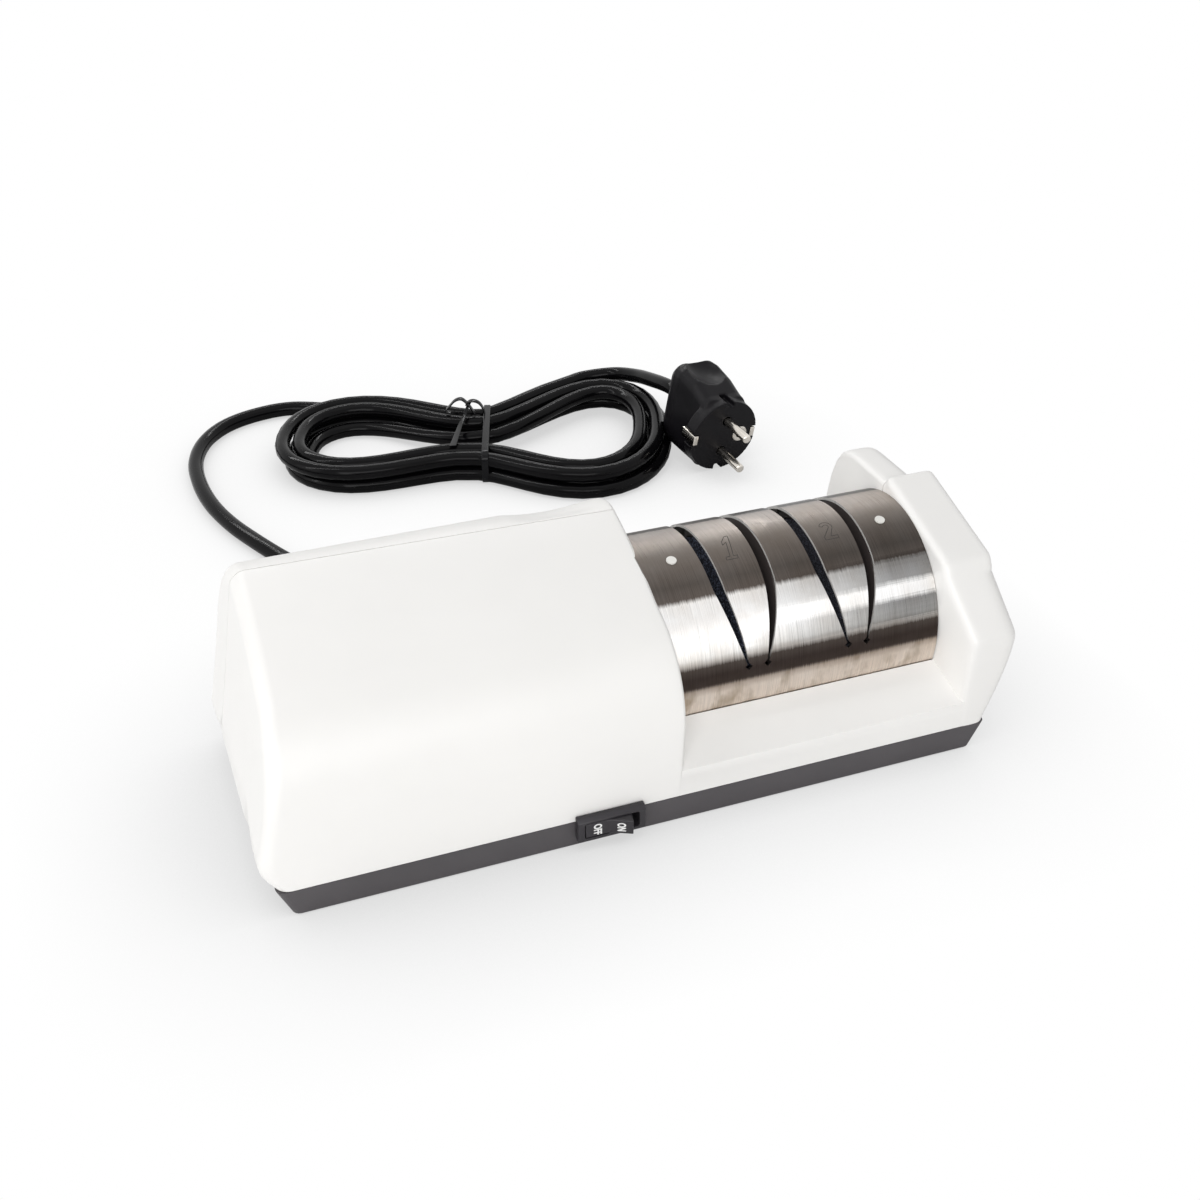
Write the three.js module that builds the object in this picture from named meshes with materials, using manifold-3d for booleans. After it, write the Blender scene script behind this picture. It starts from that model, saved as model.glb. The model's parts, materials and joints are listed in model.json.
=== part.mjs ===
// Electric knife sharpener with two abrasive wheels under a curved stainless guide.
// Millimetres, +Z up, +X towards the sharpening end, -Y towards the person using it.
// The origin is on the table, under the middle of the body.

import * as THREE from 'three';
import { mergeVertices } from 'three/addons/utils/BufferGeometryUtils.js';
import Module from 'manifold-3d';

const wasm = await Module();
wasm.setup();

// Body: motor housing, guide and end block from left to right
const housingLength = 164;
const stageMargin = 38;
const stagePitch = 44.1;
const blockLength = 27.9;
const bodyDepth = 123.5;
const rimDepth = 120.1;
const housingRimInset = 5;
const blockRimInset = 10;
const baseHeight = 12;
const footProud = 0.8;
const baseTaper = 5;
const baseSideTaper = 0.9;
const baseCornerRadius = 3;
const baseWall = 2.3;
const baseFloor = 2.6;
const shellWall = 2.6;
const seamGap = 0.3;
const fitGap = 0.3;
const cutOverrun = 3;
const creaseHeight = 55.1;
const innerEdgeRounding = 1.3;

// Motor housing, the left block
const housingWideZ = 24;
const housingTopInset = 13;
const housingRounding = 6;
const housingEndBend = 0.9;
const faceLean = 4.6;
const shoulderHeight = 46.9;
const shoulderRadius = 38.2;
const shoulderTurn = 74;
const roofBow = 1.7;
const rearRoundY = 27.7;
const rearRoundZ = 66;
const rearRoundRadius = 30.6;
const rearRoundStart = 99;
const dipDepth = 2.2;
const dipFromFace = 5;
const dipLength = 42;

// End block, on the right
const blockRounding = 4.5;
const blockEndBend = 1.8;
const facetTopY = 41.8;
const facetTopZ = 79.3;
const cheekZ = 94.6;
const cheekFrontY = 9.5;
const cheekRearY = 38.9;
const cheekTopInset = 13;
const padProud = 3;
const padLead = 1.5;
const padEndInset = 6;
const padSkirt = 13.7;
const bevelRun = 5.6;

// Aprons below the guide
const skirtHeight = 25.2;
const apronTopZ = 37.2;

// Spindle and guide
const spindleZ = 48;
const guideRadius = 43.6;
const guideThickness = 1.1;
const guideFoot = 17;
const guideHoleRadius = 2.5;
const pegRadius = 2.1;
const pegProud = 0.5;
const pegAngle = 74.5;
const slotWidth = 4.8;
const slotTilt = 14;
const slotTipOffset = 4.2;
const slotTipAngle = 9;
const slotRelief = 1.6;
const slotTaperSpan = 45;

// Wheels and spindle pieces
const wheelRadius = 37.3;
const wheelHubHalf = 5.7;
const wheelRimHalf = 3.5;
const wheelHubRadius = 12.6;
const spindleRadius = 5.2;
const spacerRadius = 8.4;
const nutRadius = 8.9;
const nutLength = 6.3;
const spindleReach = 15.3;
const spindleInset = 42.1;

// Guide frame and inserts
const frameSetback = 8;
const insertLip = 3.1;
const frameRing = 5.8;
const railWidth = 3.2;
const railDepth = 8.4;
const insertRelief = 12.6;
const insertFoot = 2.6;

// Bearings and stands
const bearingRadius = 11.6;
const bearingLength = 7;
const standThickness = 6;
const standHalfWidth = 17.9;
const standTop = 15.8;
const leftStandInset = 16.9;
const rightStandInset = 3.4;
const shaftHoleRadius = 9.5;

// Motor
const motorInset = 82;
const coreLength = 31.5;
const coreHalf = 28.4;
const coreCorner = 5.2;
const rotorRadius = 18.4;
const airGap = 0.8;
const windingInner = 20.2;
const windingOuter = 26.8;
const windingLength = 7.4;
const motorShaftRadius = 4.7;
const plateThickness = 3.4;
const plateGap = 1.3;
const boltRadius = 2.1;
const boltPlace = 22.6;
const boltHeadRadius = 3.8;
const boltHeadLength = 2.5;
const fanRadius = 26.2;
const fanDisc = 1.7;
const fanBladeLength = 8.4;
const fanBladeThickness = 1.5;
const fanHubRadius = 9.5;
const fanBlades = 9;
const motorShaftReach = 47.2;
const couplingRadius = 10.5;
const couplingLength = 18.9;
const couplingBack = 9.5;

// Rocker switch
const switchInset = 30.9;
const bezelLength = 27.9;
const bezelLow = 5.2;
const bezelHigh = 15.8;
const bezelProud = 3.8;
const switchBodyLength = 24.4;
const switchBodyLow = 6;
const switchBodyHigh = 15;
const switchBodyDepth = 21;
const rockerHalf = 9.3;
const rockerWell = 11.3;
const rockerHeight = 5.9;
const rockerPivotDepth = 6.3;
const rockerFront = 8.6;
const rockerDip = 1.1;
const rockerRear = 3.8;
const rockerTilt = 13;
const rockerWellDepth = 12;

// Feet
const footRadius = 6.8;
const footInset = 22.1;
const footPocket = 1.1;

// Supply cord: route points are in the frame of the whole part
const spindleY = 3.95;
const cordDiameter = 8.4;
const cordSides = 10;
const leadSteps = 26;
const tailSteps = 8;
const glandInset = 83.5;
const glandZ = 24;
const glandFlangeRadius = 8.6;
const glandFlange = 3;
const glandNeckRadius = 6;
const glandSleeve = 32;
const glandTipRadius = 5.3;
const leadPoints = [
  [-75.5, 113.75, 24], [-76.5, 127.75, 21.5], [-81, 144.75, 15.5], [-87, 161.75, 9.5],
  [-94.5, 179.75, 5.4], [-103, 197.75, 4.3], [-112.5, 218.75, 4.3], [-121.5, 241.75, 4.3],
  [-128, 267.75, 4.3], [-130.5, 295.75, 4.3], [-128.5, 322.75, 4.3], [-119.5, 346.75, 4.3],
  [-104.5, 363.75, 4.3], [-84.5, 372.75, 4.3], [-63.5, 373.75, 4.3],
];
const tailPoints = [[128, 330.75, 15], [136, 313.75, 19.5], [138.5, 295.75, 24]];

// Hank: four and a bit loops in two layers, drawn in at the waist
const hankSides = 6;
const hankSteps = 24;
const hankTurns = 2;
const hankPitch = 9.6;
const hankLift = 9;
const hankBottomZ = 4.3;
const hankMiddle = [27.5, 288.75];
const hankTurned = -22.4;
const hankHalfLength = 92;
const hankLobeLeft = 42;
const hankLobeRight = 69;
const hankWaist = 8.5;
const hankShiftLeft = -13;
const hankShiftRight = 8.5;
const hankRoundness = 0.78;
const climbTurns = 0.24;
const hankWaistSpread = 0.12;
const hankStartAngle = 128;
const hankEndAngle = 56;
const tieWidth = 3.4;
const tieThickness = 1.2;
const tieAlong = 2;
const tieReachShare = 1.46;

// Plug with two round pins, lying beside the hank
const plugRadius = 21.5;
const plugFaceDepth = 12;
const plugGripDepth = 26;
const plugGripHalf = 20;
const plugGripLow = 12;
const plugGripCorner = 7;
const plugCollar = 9;
const plugCollarRadius = 7;
const plugPinRadius = 2.4;
const plugPinLength = 19;
const plugPinSpread = 9.5;
const plugTurned = 9;
const plugNose = 8;
const plugRoll = 95;
const plugPlace = [149.9, 214.75];
const plugClipWidth = 5;
const plugClipDepth = 9;
const plugClipThickness = 1.2;
const plugSocketRadius = 2.6;
const plugSocketPlace = 10.5;
const plugRecessDepth = 3.4;
const plugRecessSpan = 10;

// Shares of an end's outline at which its flat face is stepped
const endRings = [0.72, 0.4, 0.1];

const counts = { ring: 48, round: 32, small: 16, arc: 9, guide: 44 };

const colours = {
  white: { color: 0xf3f2ee, roughness: 0.45, metalness: 0 },
  base: { color: 0x3d3b3e, roughness: 0.6, metalness: 0 },
  steel: { color: 0xb9b3ab, roughness: 0.28, metalness: 1 },
  insert: { color: 0x3c3432, roughness: 0.5, metalness: 0 },
  grit: { color: 0x23242e, roughness: 0.95, metalness: 0 },
  fineGrit: { color: 0x6b5a55, roughness: 0.9, metalness: 0 },
  shaft: { color: 0xa9abad, roughness: 0.3, metalness: 1 },
  brass: { color: 0xa98a4a, roughness: 0.4, metalness: 1 },
  core: { color: 0x77797c, roughness: 0.5, metalness: 0.8 },
  copper: { color: 0xb0622f, roughness: 0.45, metalness: 0.9 },
  black: { color: 0x121214, roughness: 0.4, metalness: 0 },
  rubber: { color: 0x1b1b1c, roughness: 0.8, metalness: 0 },
  nylon: { color: 0xd9d6cc, roughness: 0.5, metalness: 0 },
  nickel: { color: 0xc9c2b6, roughness: 0.25, metalness: 1 },
};

const part = new THREE.Group();
const machine = new THREE.Group();
machine.position.y = spindleY;
part.add(machine);
const radians = (degrees) => THREE.MathUtils.degToRad(degrees);
const mirrored = (points) => points.map(([a, b]) => [-a, b]);

// Turns a closed geometry into a solid that can be joined and cut.
function solidOf(geometry) {
  const bare = geometry.clone();
  bare.deleteAttribute('normal');
  bare.deleteAttribute('uv');
  const merged = mergeVertices(bare, 1e-4);
  const places = new Float32Array(merged.attributes.position.array);
  const corners = [];
  const old = merged.index.array;
  for (let i = 0; i < old.length; i += 3) {
    const [a, b, c] = [old[i], old[i + 1], old[i + 2]];
    if (a !== b && b !== c && a !== c) corners.push(a, b, c);
  }
  if (signedVolume(places, corners) < 0) corners.reverse();
  const mesh = new wasm.Mesh({
    numProp: 3, vertProperties: places, triVerts: new Uint32Array(corners),
  });
  return new wasm.Manifold(mesh);
}

function signedVolume(places, corners) {
  const [a, b, c] = [new THREE.Vector3(), new THREE.Vector3(), new THREE.Vector3()];
  let sum = 0;
  for (let i = 0; i < corners.length; i += 3) {
    a.fromArray(places, 3 * corners[i]);
    b.fromArray(places, 3 * corners[i + 1]);
    c.fromArray(places, 3 * corners[i + 2]);
    sum += a.dot(b.cross(c));
  }
  return sum / 6;
}

function addPiece(name, solid, colour, parent = machine) {
  const data = solid.getMesh();
  const geometry = new THREE.BufferGeometry();
  geometry.setAttribute('position', new THREE.BufferAttribute(data.vertProperties, 3));
  geometry.setIndex(new THREE.BufferAttribute(data.triVerts, 1));
  geometry.computeVertexNormals();
  const mesh = new THREE.Mesh(geometry, new THREE.MeshStandardMaterial(colours[colour]));
  mesh.name = name;
  parent.add(mesh);
  return mesh;
}

const joined = (solids) => solids.reduce((whole, piece) => whole.add(piece));

// Prisms: outlines are [y, z], [x, z] or [x, y] pairs, pushed along the remaining axis.
function prism(outline, depth, holes) {
  const shape = new THREE.Shape(outline.map(([a, b]) => new THREE.Vector2(a, b)));
  for (const hole of holes) {
    shape.holes.push(new THREE.Path(hole.map(([a, b]) => new THREE.Vector2(a, b))));
  }
  return new THREE.ExtrudeGeometry(shape, { depth, bevelEnabled: false, steps: 1 });
}

function prismX(outline, fromX, toX, holes = []) {
  const geometry = prism(outline, toX - fromX, holes);
  geometry.applyMatrix4(new THREE.Matrix4().set(0, 0, 1, fromX, 1, 0, 0, 0, 0, 1, 0, 0, 0, 0, 0, 1));
  return solidOf(geometry);
}

function prismY(outline, fromY, toY, holes = []) {
  const geometry = prism(outline, toY - fromY, holes);
  geometry.applyMatrix4(new THREE.Matrix4().set(1, 0, 0, 0, 0, 0, -1, toY, 0, 1, 0, 0, 0, 0, 0, 1));
  return solidOf(geometry);
}

function prismZ(outline, fromZ, toZ, holes = []) {
  const geometry = prism(outline, toZ - fromZ, holes);
  geometry.translate(0, 0, fromZ);
  return solidOf(geometry);
}

function box(x0, x1, y0, y1, z0, z1) {
  return prismZ([[x0, y0], [x1, y0], [x1, y1], [x0, y1]], z0, z1);
}

function arcPoints(centre, radius, fromDegrees, toDegrees, steps) {
  const points = [];
  for (let i = 0; i <= steps; i += 1) {
    const angle = radians(fromDegrees + ((toDegrees - fromDegrees) * i) / steps);
    points.push([centre[0] + radius * Math.cos(angle), centre[1] + radius * Math.sin(angle)]);
  }
  return points;
}

function circlePoints(centre, radius, steps) {
  return arcPoints(centre, radius, 0, 360 - 360 / steps, steps - 1);
}

function roundedOutline(halfA, halfB, radius, steps) {
  const [a, b] = [halfA - radius, halfB - radius];
  return [
    ...arcPoints([a, b], radius, 0, 90, steps), ...arcPoints([-a, b], radius, 90, 180, steps),
    ...arcPoints([-a, -b], radius, 180, 270, steps), ...arcPoints([a, -b], radius, 270, 360, steps),
  ];
}

// A turned piece about the spindle line: the profile is [radius, x] pairs.
function turned(profile, steps, centre = [0, spindleZ]) {
  const points = profile.map(([r, x]) => new THREE.Vector2(r, x));
  const geometry = new THREE.LatheGeometry(points, steps);
  const [y, z] = centre;
  geometry.applyMatrix4(new THREE.Matrix4().set(0, 1, 0, 0, 0, 0, 1, y, 1, 0, 0, z, 0, 0, 0, 1));
  return solidOf(geometry);
}

function turnedRing(inner, outer, fromX, toX, steps, centre) {
  const profile = [[inner, fromX], [outer, fromX], [outer, toX], [inner, toX], [inner, fromX]];
  return turned(profile, steps, centre);
}

function turnedRod(radius, fromX, toX, steps, centre) {
  return turned([[0, fromX], [radius, fromX], [radius, toX], [0, toX]], steps, centre);
}

// A skin through equal-sized outlines, each given as a list of 3-D points.
function loft(sections) {
  const size = sections[0].length;
  const places = sections.flat().flatMap((point) => point);
  const corners = [];
  for (let s = 0; s + 1 < sections.length; s += 1) {
    for (let i = 0; i < size; i += 1) {
      const [a, b] = [s * size + i, s * size + ((i + 1) % size)];
      corners.push(a, b, b + size, a, b + size, a + size);
    }
  }
  const flat = sections[0].map((point) => new THREE.Vector3(...point));
  const [u, v] = spreadAxes(flat);
  const outline = flat.map((point) => new THREE.Vector2(point.dot(u), point.dot(v)));
  const last = (sections.length - 1) * size;
  for (const [a, b, c] of THREE.ShapeUtils.triangulateShape(outline, [])) {
    corners.push(c, b, a, last + a, last + b, last + c);
  }
  const geometry = new THREE.BufferGeometry();
  geometry.setAttribute('position', new THREE.Float32BufferAttribute(places, 3));
  geometry.setIndex(corners);
  return solidOf(geometry);
}

function spreadAxes(points) {
  const normal = new THREE.Vector3();
  points.forEach((point, i) => normal.add(point.clone().cross(points[(i + 1) % points.length])));
  normal.normalize();
  const u = points[1].clone().sub(points[0]).normalize();
  return [u, normal.clone().cross(u)];
}

// Moves every edge of a convex outline inwards by one distance.
function insetOutline(points, distance) {
  const turn = THREE.ShapeUtils.area(points.map(([a, b]) => new THREE.Vector2(a, b))) > 0 ? 1 : -1;
  const edges = points.map((point, i) => {
    const next = points[(i + 1) % points.length];
    const along = new THREE.Vector2(next[0] - point[0], next[1] - point[1]).normalize();
    const inwards = new THREE.Vector2(-along.y, along.x).multiplyScalar(turn * distance);
    return { start: new THREE.Vector2(...point).add(inwards), along };
  });
  return edges.map((edge, i) => {
    const before = edges[(i + edges.length - 1) % edges.length];
    const cross = before.along.cross(edge.along);
    const between = edge.start.clone().sub(before.start);
    if (Math.abs(cross) < 1e-6) return [edge.start.x, edge.start.y];
    const reach = between.cross(edge.along) / cross;
    return [before.start.x + before.along.x * reach, before.start.y + before.along.y * reach];
  });
}

// Places along the body, from its left end at -X to its right end
const guideSpan = 2 * stageMargin + stagePitch;
const bodyLength = housingLength + guideSpan + blockLength;
const housingFaceX = housingLength - bodyLength / 2;
const blockFaceX = bodyLength / 2 - blockLength;
const stageXs = [housingFaceX + stageMargin, housingFaceX + stageMargin + stagePitch];
const spindleStartX = housingFaceX - spindleInset;
const spindleEndX = blockFaceX + spindleReach;
const leftStandX = housingFaceX - leftStandInset;
const rightStandX = blockFaceX + rightStandInset;
const motorCentreX = housingFaceX - motorInset;
const motorShaftLeft = motorCentreX - motorShaftReach;
const switchX = housingFaceX - switchInset;
const glandX = housingFaceX - glandInset;

// Body outlines
const baseBottomZ = footProud;
const rimZ = footProud + baseHeight;
const shellBottomZ = rimZ + seamGap;
const floorZ = baseBottomZ + baseFloor;
const bodyFrontY = -bodyDepth / 2;
const rimFrontY = -rimDepth / 2;
const bezelFrontY = rimFrontY - bezelProud;
const rockerPivotY = bezelFrontY + rockerPivotDepth;
const rockerMiddleZ = (bezelLow + bezelHigh) / 2;
const farBelowZ = shellBottomZ - housingRounding - shellWall - cutOverrun;
const housingTopZ = rearRoundZ + rearRoundRadius;
const housingEnd = {
  rounding: housingRounding, rim: bodyLength / 2 - housingRimInset, wideZ: housingWideZ,
  top: bodyLength / 2 - housingTopInset, topZ: housingTopZ, bend: housingEndBend,
};
const blockEnd = {
  rounding: blockRounding, rim: bodyLength / 2 - blockRimInset, wideZ: creaseHeight,
  top: bodyLength / 2 - cheekTopInset, topZ: cheekZ, bend: blockEndBend,
};

function roofCurve(start, end) {
  const middle = [(start[0] + end[0]) / 2, (start[1] + end[1]) / 2 + roofBow * 2];
  const curve = new THREE.QuadraticBezierCurve(
    new THREE.Vector2(...start), new THREE.Vector2(...middle), new THREE.Vector2(...end),
  );
  return curve.getPoints(counts.arc).slice(1, -1).map((point) => [point.x, point.y]);
}

// Outline of the housing; the rounded top rear edge sinks by the given depth.
function housingOutline(dip) {
  const shoulderCentre = [bodyFrontY + shoulderRadius, shoulderHeight];
  const shoulder = arcPoints(shoulderCentre, shoulderRadius, 180, 180 - shoulderTurn, counts.arc);
  const rear = arcPoints([rearRoundY, rearRoundZ], rearRoundRadius, rearRoundStart, 0, counts.arc);
  const roof = roofCurve(shoulder[shoulder.length - 1], rear[0]);
  const sink = (z, i) => (i === 0 ? 0 : (dip * (z - rearRoundZ)) / rearRoundRadius);
  const sunk = rear.map(([y, z], i) => [y, z - sink(z, i)]);
  return [[rimFrontY, farBelowZ], [rimFrontY, shellBottomZ], ...shoulder, ...roof, ...sunk,
    [-rimFrontY, shellBottomZ], [-rimFrontY, farBelowZ]];
}

function blockOutline() {
  const rearDrop = cheekZ - creaseHeight;
  const rearRun = -rimFrontY - cheekRearY;
  const rearShares = [[0.42, 0.1], [0.74, 0.42], [0.93, 0.95]];
  const rear = rearShares.map(([run, drop]) => [cheekRearY + rearRun * run, cheekZ - rearDrop * drop]);
  return [[rimFrontY, farBelowZ], [rimFrontY, shellBottomZ], [bodyFrontY, creaseHeight],
    [-facetTopY, facetTopZ], [cheekFrontY, cheekZ], [cheekRearY, cheekZ], ...rear,
    [-rimFrontY, shellBottomZ], [-rimFrontY, farBelowZ]];
}

// How far out an end reaches at a height: from the rim to its widest height and in again.
function endReach(z, ending) {
  const widest = bodyLength / 2;
  if (z <= shellBottomZ) return ending.rim;
  if (z <= ending.wideZ) {
    const share = (z - shellBottomZ) / (ending.wideZ - shellBottomZ);
    return ending.rim + (widest - ending.rim) * Math.sin(share * Math.PI / 2);
  }
  const share = Math.min((z - ending.wideZ) / (ending.topZ - ending.wideZ), 1);
  return widest + (ending.top - widest) * share ** ending.bend;
}

// Stations along a block: how far out each one is, and how much its outline shrinks there.
function blockStations(start, inset, rounding, faceRounding, between) {
  const widest = bodyLength / 2;
  const stations = [];
  const faceSteps = faceRounding > 0 ? 2 : 0;
  for (let i = faceSteps; i > 0; i -= 1) {
    const angle = radians((90 * i) / faceSteps);
    stations.push([start + faceRounding * (1 - Math.sin(angle)), faceRounding * (1 - Math.cos(angle))]);
  }
  stations.push([start + faceRounding, 0], ...between.map((distance) => [start + distance, 0]));
  const endSteps = 5;
  for (let i = 0; i <= endSteps; i += 1) {
    const angle = radians((90 * i) / endSteps);
    stations.push([widest - inset - rounding * (1 - Math.sin(angle)), rounding * (1 - Math.cos(angle))]);
  }
  return stations;
}

// Adds the points where an outline crosses one height.
function withHeight(outline, height) {
  return outline.flatMap((point, i) => {
    const next = outline[(i + 1) % outline.length];
    const share = (height - point[1]) / (next[1] - point[1]);
    if (!(share > 0 && share < 1)) return [point];
    return [point, [point[0] + (next[0] - point[0]) * share, height]];
  });
}

// A block of the body: outlines pushed outwards from its face, rounded at the end.
function bodyBlock(block) {
  const { side, start, inset, ending, faceRounding, between, outlineAt, leanAt } = block;
  const widest = bodyLength / 2;
  const rounding = Math.max(ending.rounding - inset, fitGap);
  const place = (reach) => ([y, z]) => {
    const share = (reach - start) / (widest - start);
    const from = start - leanAt(y);
    return [side * (from + (endReach(z, ending) - from) * share), y, z];
  };
  const ringAt = (reach, shrink) => insetOutline(
    withHeight(outlineAt(reach - start), ending.wideZ), inset + shrink,
  );
  const stations = blockStations(start, inset, rounding, faceRounding, between);
  const sections = stations.map(([reach, shrink]) => ringAt(reach, shrink).map(place(reach)));
  const lastReach = stations[stations.length - 1][0];
  for (const share of endRings) {
    const ring = ringAt(lastReach, rounding);
    const small = ring.map(([y, z]) => [y * share, creaseHeight + (z - creaseHeight) * share]);
    sections.push(small.map(place(lastReach)));
  }
  return loft(sections);
}

const wideX = bodyLength;
const wideY = bodyDepth;
const highZ = cheekZ + bodyDepth;
const aboveSeam = box(-wideX, wideX, -wideY, wideY, shellBottomZ, highZ);

// How much the rounded top rear edge sinks at a distance from the housing's face
const dipShares = [0, 0.25, 0.5, 0.75, 1];

function dipAt(distance) {
  const share = (distance - dipFromFace) / dipLength;
  return share > 0 && share < 1 ? dipDepth * Math.sin(share * Math.PI) : 0;
}

// The face of the housing stands further out towards the rear.
function faceLeanAt(y) {
  const share = (y - bodyFrontY / 2) / (-bodyFrontY);
  return faceLean * Math.min(Math.max(share, 0), 1);
}

function housingSolid(inset) {
  return bodyBlock({
    side: -1, start: inset - housingFaceX, inset, ending: housingEnd,
    faceRounding: inset > 0 ? 0 : innerEdgeRounding,
    between: dipShares.map((share) => dipFromFace + dipLength * share),
    outlineAt: (distance) => housingOutline(dipAt(distance)),
    leanAt: inset > 0 ? () => 0 : faceLeanAt,
  });
}

function blockSolid(inset) {
  const outline = blockOutline();
  const block = bodyBlock({
    side: 1, start: blockFaceX + inset, inset, ending: blockEnd, faceRounding: 0, between: [],
    outlineAt: () => outline, leanAt: () => 0,
  });
  const shift = blockFaceX + inset / Math.cos(Math.atan2(bevelRun, -bodyFrontY - facetTopY));
  const before = 2 * bodyFrontY + facetTopY;
  const bevel = prismZ([
    [-cutOverrun, -facetTopY], [-cutOverrun, before], [shift + 2 * bevelRun, before], [shift, -facetTopY],
  ], farBelowZ - cutOverrun, highZ);
  return block.subtract(bevel);
}

// The raised cap over the top of the end block's front part.
function padSolid(inset) {
  const slope = Math.atan2(cheekZ - facetTopZ, cheekFrontY + facetTopY);
  const rise = padProud / Math.cos(slope);
  const outline = [
    [-facetTopY - padLead, facetTopZ - padLead], [-facetTopY + padLead / 2, facetTopZ + rise],
    [cheekFrontY, cheekZ + rise], [cheekFrontY, cheekZ - padSkirt], [-facetTopY, facetTopZ - padSkirt],
  ];
  const small = inset > 0 ? insetOutline(outline, inset) : outline;
  return prismX(small, blockFaceX + inset, bodyLength / 2 - padEndInset - inset);
}

// One apron: the skirt over the base and the slope up to the guide, with its thickness.
function apronOutline() {
  const edgeY = guideEdgeY() + fitGap;
  const slope = Math.atan2(apronTopZ - skirtHeight, -rimFrontY - edgeY);
  const drop = shellWall / Math.cos(slope);
  return [
    [rimFrontY, shellBottomZ], [rimFrontY, skirtHeight], [-edgeY, apronTopZ],
    [-edgeY, apronTopZ - drop], [rimFrontY + shellWall, skirtHeight - drop * Math.sin(slope)],
    [rimFrontY + shellWall, shellBottomZ],
  ];
}

// Distance of the guide from the middle at the height of the aprons' upper edges.
function guideEdgeY() {
  const below = spindleZ - apronTopZ;
  return Math.sqrt(guideRadius ** 2 - below ** 2);
}

function partingOutline(gap) {
  const housingY = rearRoundY + rearRoundRadius * Math.cos(radians(rearRoundStart)) + gap;
  const blockY = cheekFrontY + gap;
  const stepX = (housingFaceX + blockFaceX) / 2;
  return [[-wideX, housingY], [stepX, housingY], [stepX, blockY], [wideX, blockY],
    [wideX, wideY], [-wideX, wideY]];
}

function bodyShell() {
  const shaftHole = turnedRod(shaftHoleRadius, 0, spindleEndX - cutOverrun, counts.round);
  const housing = housingSolid(0).subtract(housingSolid(shellWall));
  const block = joined([blockSolid(0), padSolid(0)]).subtract(blockSolid(shellWall));
  const front = prismX(apronOutline(), housingFaceX - shellWall / 2, blockFaceX + bevelRun + shellWall);
  const rear = prismX(mirrored(apronOutline()), housingFaceX - shellWall / 2, blockFaceX + shellWall / 2);
  const behindBevel = blockSolid(shellWall);
  const guideGroove = prismX(
    guideOutline(guideRadius - guideThickness - fitGap, guideRadius + fitGap), housingFaceX, guideToX,
  );
  const shell = joined([housing, block, front.subtract(behindBevel), rear]).intersect(aboveSeam);
  return shell.subtract(shaftHole).subtract(guideGroove);
}

function addShells() {
  const shell = bodyShell();
  const rearSpace = prismZ(partingOutline(0), 0, highZ);
  const rearGapSpace = prismZ(partingOutline(seamGap), 0, highZ);
  const switchNotch = box(
    switchX - switchBodyLength / 2 - fitGap, switchX + switchBodyLength / 2 + fitGap,
    Math.min(bezelFrontY, bodyFrontY) - cutOverrun, bezelFrontY + switchBodyDepth + cutOverrun,
    shellBottomZ - cutOverrun, switchBodyHigh + fitGap,
  );
  const glandHole = solidOf(rodAlongY(glandNeckRadius + fitGap, 0, wideY, glandX, glandZ));
  addPiece('front_shell', shell.subtract(rearSpace).subtract(switchNotch), 'white');
  addPiece('rear_shell', shell.intersect(rearGapSpace).subtract(glandHole), 'white');
}

function rodAlongY(radius, fromY, toY, x, z) {
  const geometry = new THREE.CylinderGeometry(radius, radius, toY - fromY, counts.small);
  geometry.translate(x, (fromY + toY) / 2, z);
  return geometry;
}

// Base tray, open at the top, with pockets for the feet and a notch for the switch
const rimLength = bodyLength - housingRimInset - blockRimInset;
const rimMiddleX = (housingRimInset - blockRimInset) / 2;

function baseSection(inset, z, share) {
  const halfA = rimLength / 2 - baseTaper * (1 - share) - inset;
  const halfB = rimDepth / 2 - baseSideTaper * (1 - share) - inset;
  const outline = roundedOutline(halfA, halfB, Math.max(baseCornerRadius - inset, fitGap), 4);
  return outline.map(([x, y]) => [x + rimMiddleX, y, z]);
}

function footPlaces() {
  const [x, y] = [rimLength / 2 - footInset, rimDepth / 2 - footInset];
  return [[-1, -1], [1, -1], [1, 1], [-1, 1]].map(([a, b]) => [rimMiddleX + a * x, b * y]);
}

function addBase() {
  const outer = loft([baseSection(0, baseBottomZ, 0), baseSection(0, rimZ, 1)]);
  const slope = (floorZ - baseBottomZ) / baseHeight;
  const inner = loft([
    baseSection(baseWall, floorZ, slope), baseSection(baseWall, rimZ, 1),
    baseSection(baseWall, rimZ + cutOverrun, 1),
  ]);
  const notch = box(
    switchX - switchBodyLength / 2 - fitGap, switchX + switchBodyLength / 2 + fitGap,
    bezelFrontY - cutOverrun, rimFrontY + baseWall + baseSideTaper + cutOverrun,
    switchBodyLow - fitGap, rimZ + cutOverrun,
  );
  let tray = outer.subtract(inner).subtract(notch);
  for (const [x, y] of footPlaces()) {
    const outline = circlePoints([x, y], footRadius + fitGap, counts.small);
    tray = tray.subtract(prismZ(outline, baseBottomZ - cutOverrun, baseBottomZ + footPocket));
  }
  addPiece('base_tray', tray, 'base');
}

function addFeet() {
  footPlaces().forEach(([x, y], i) => {
    const outline = circlePoints([x, y], footRadius, counts.small);
    addPiece(`foot_${i + 1}`, prismZ(outline, 0, baseBottomZ + footPocket - fitGap), 'rubber');
  });
}

// Curved stainless guide: an arch about the spindle, slotted in pairs that lean together
const guideFromX = housingFaceX + fitGap;
const guideToX = blockFaceX - fitGap;
const slotTipZ = spindleZ + guideRadius * Math.sin(radians(slotTipAngle));

function slotOffset(z) {
  return slotTipOffset + (z - slotTipZ) * Math.tan(radians(slotTilt));
}

function slotShare(angle) {
  const fromTip = Math.min(angle, 180 - angle) - slotTipAngle + 1;
  return Math.min((fromTip / slotTaperSpan) ** 0.6, 1);
}

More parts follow.
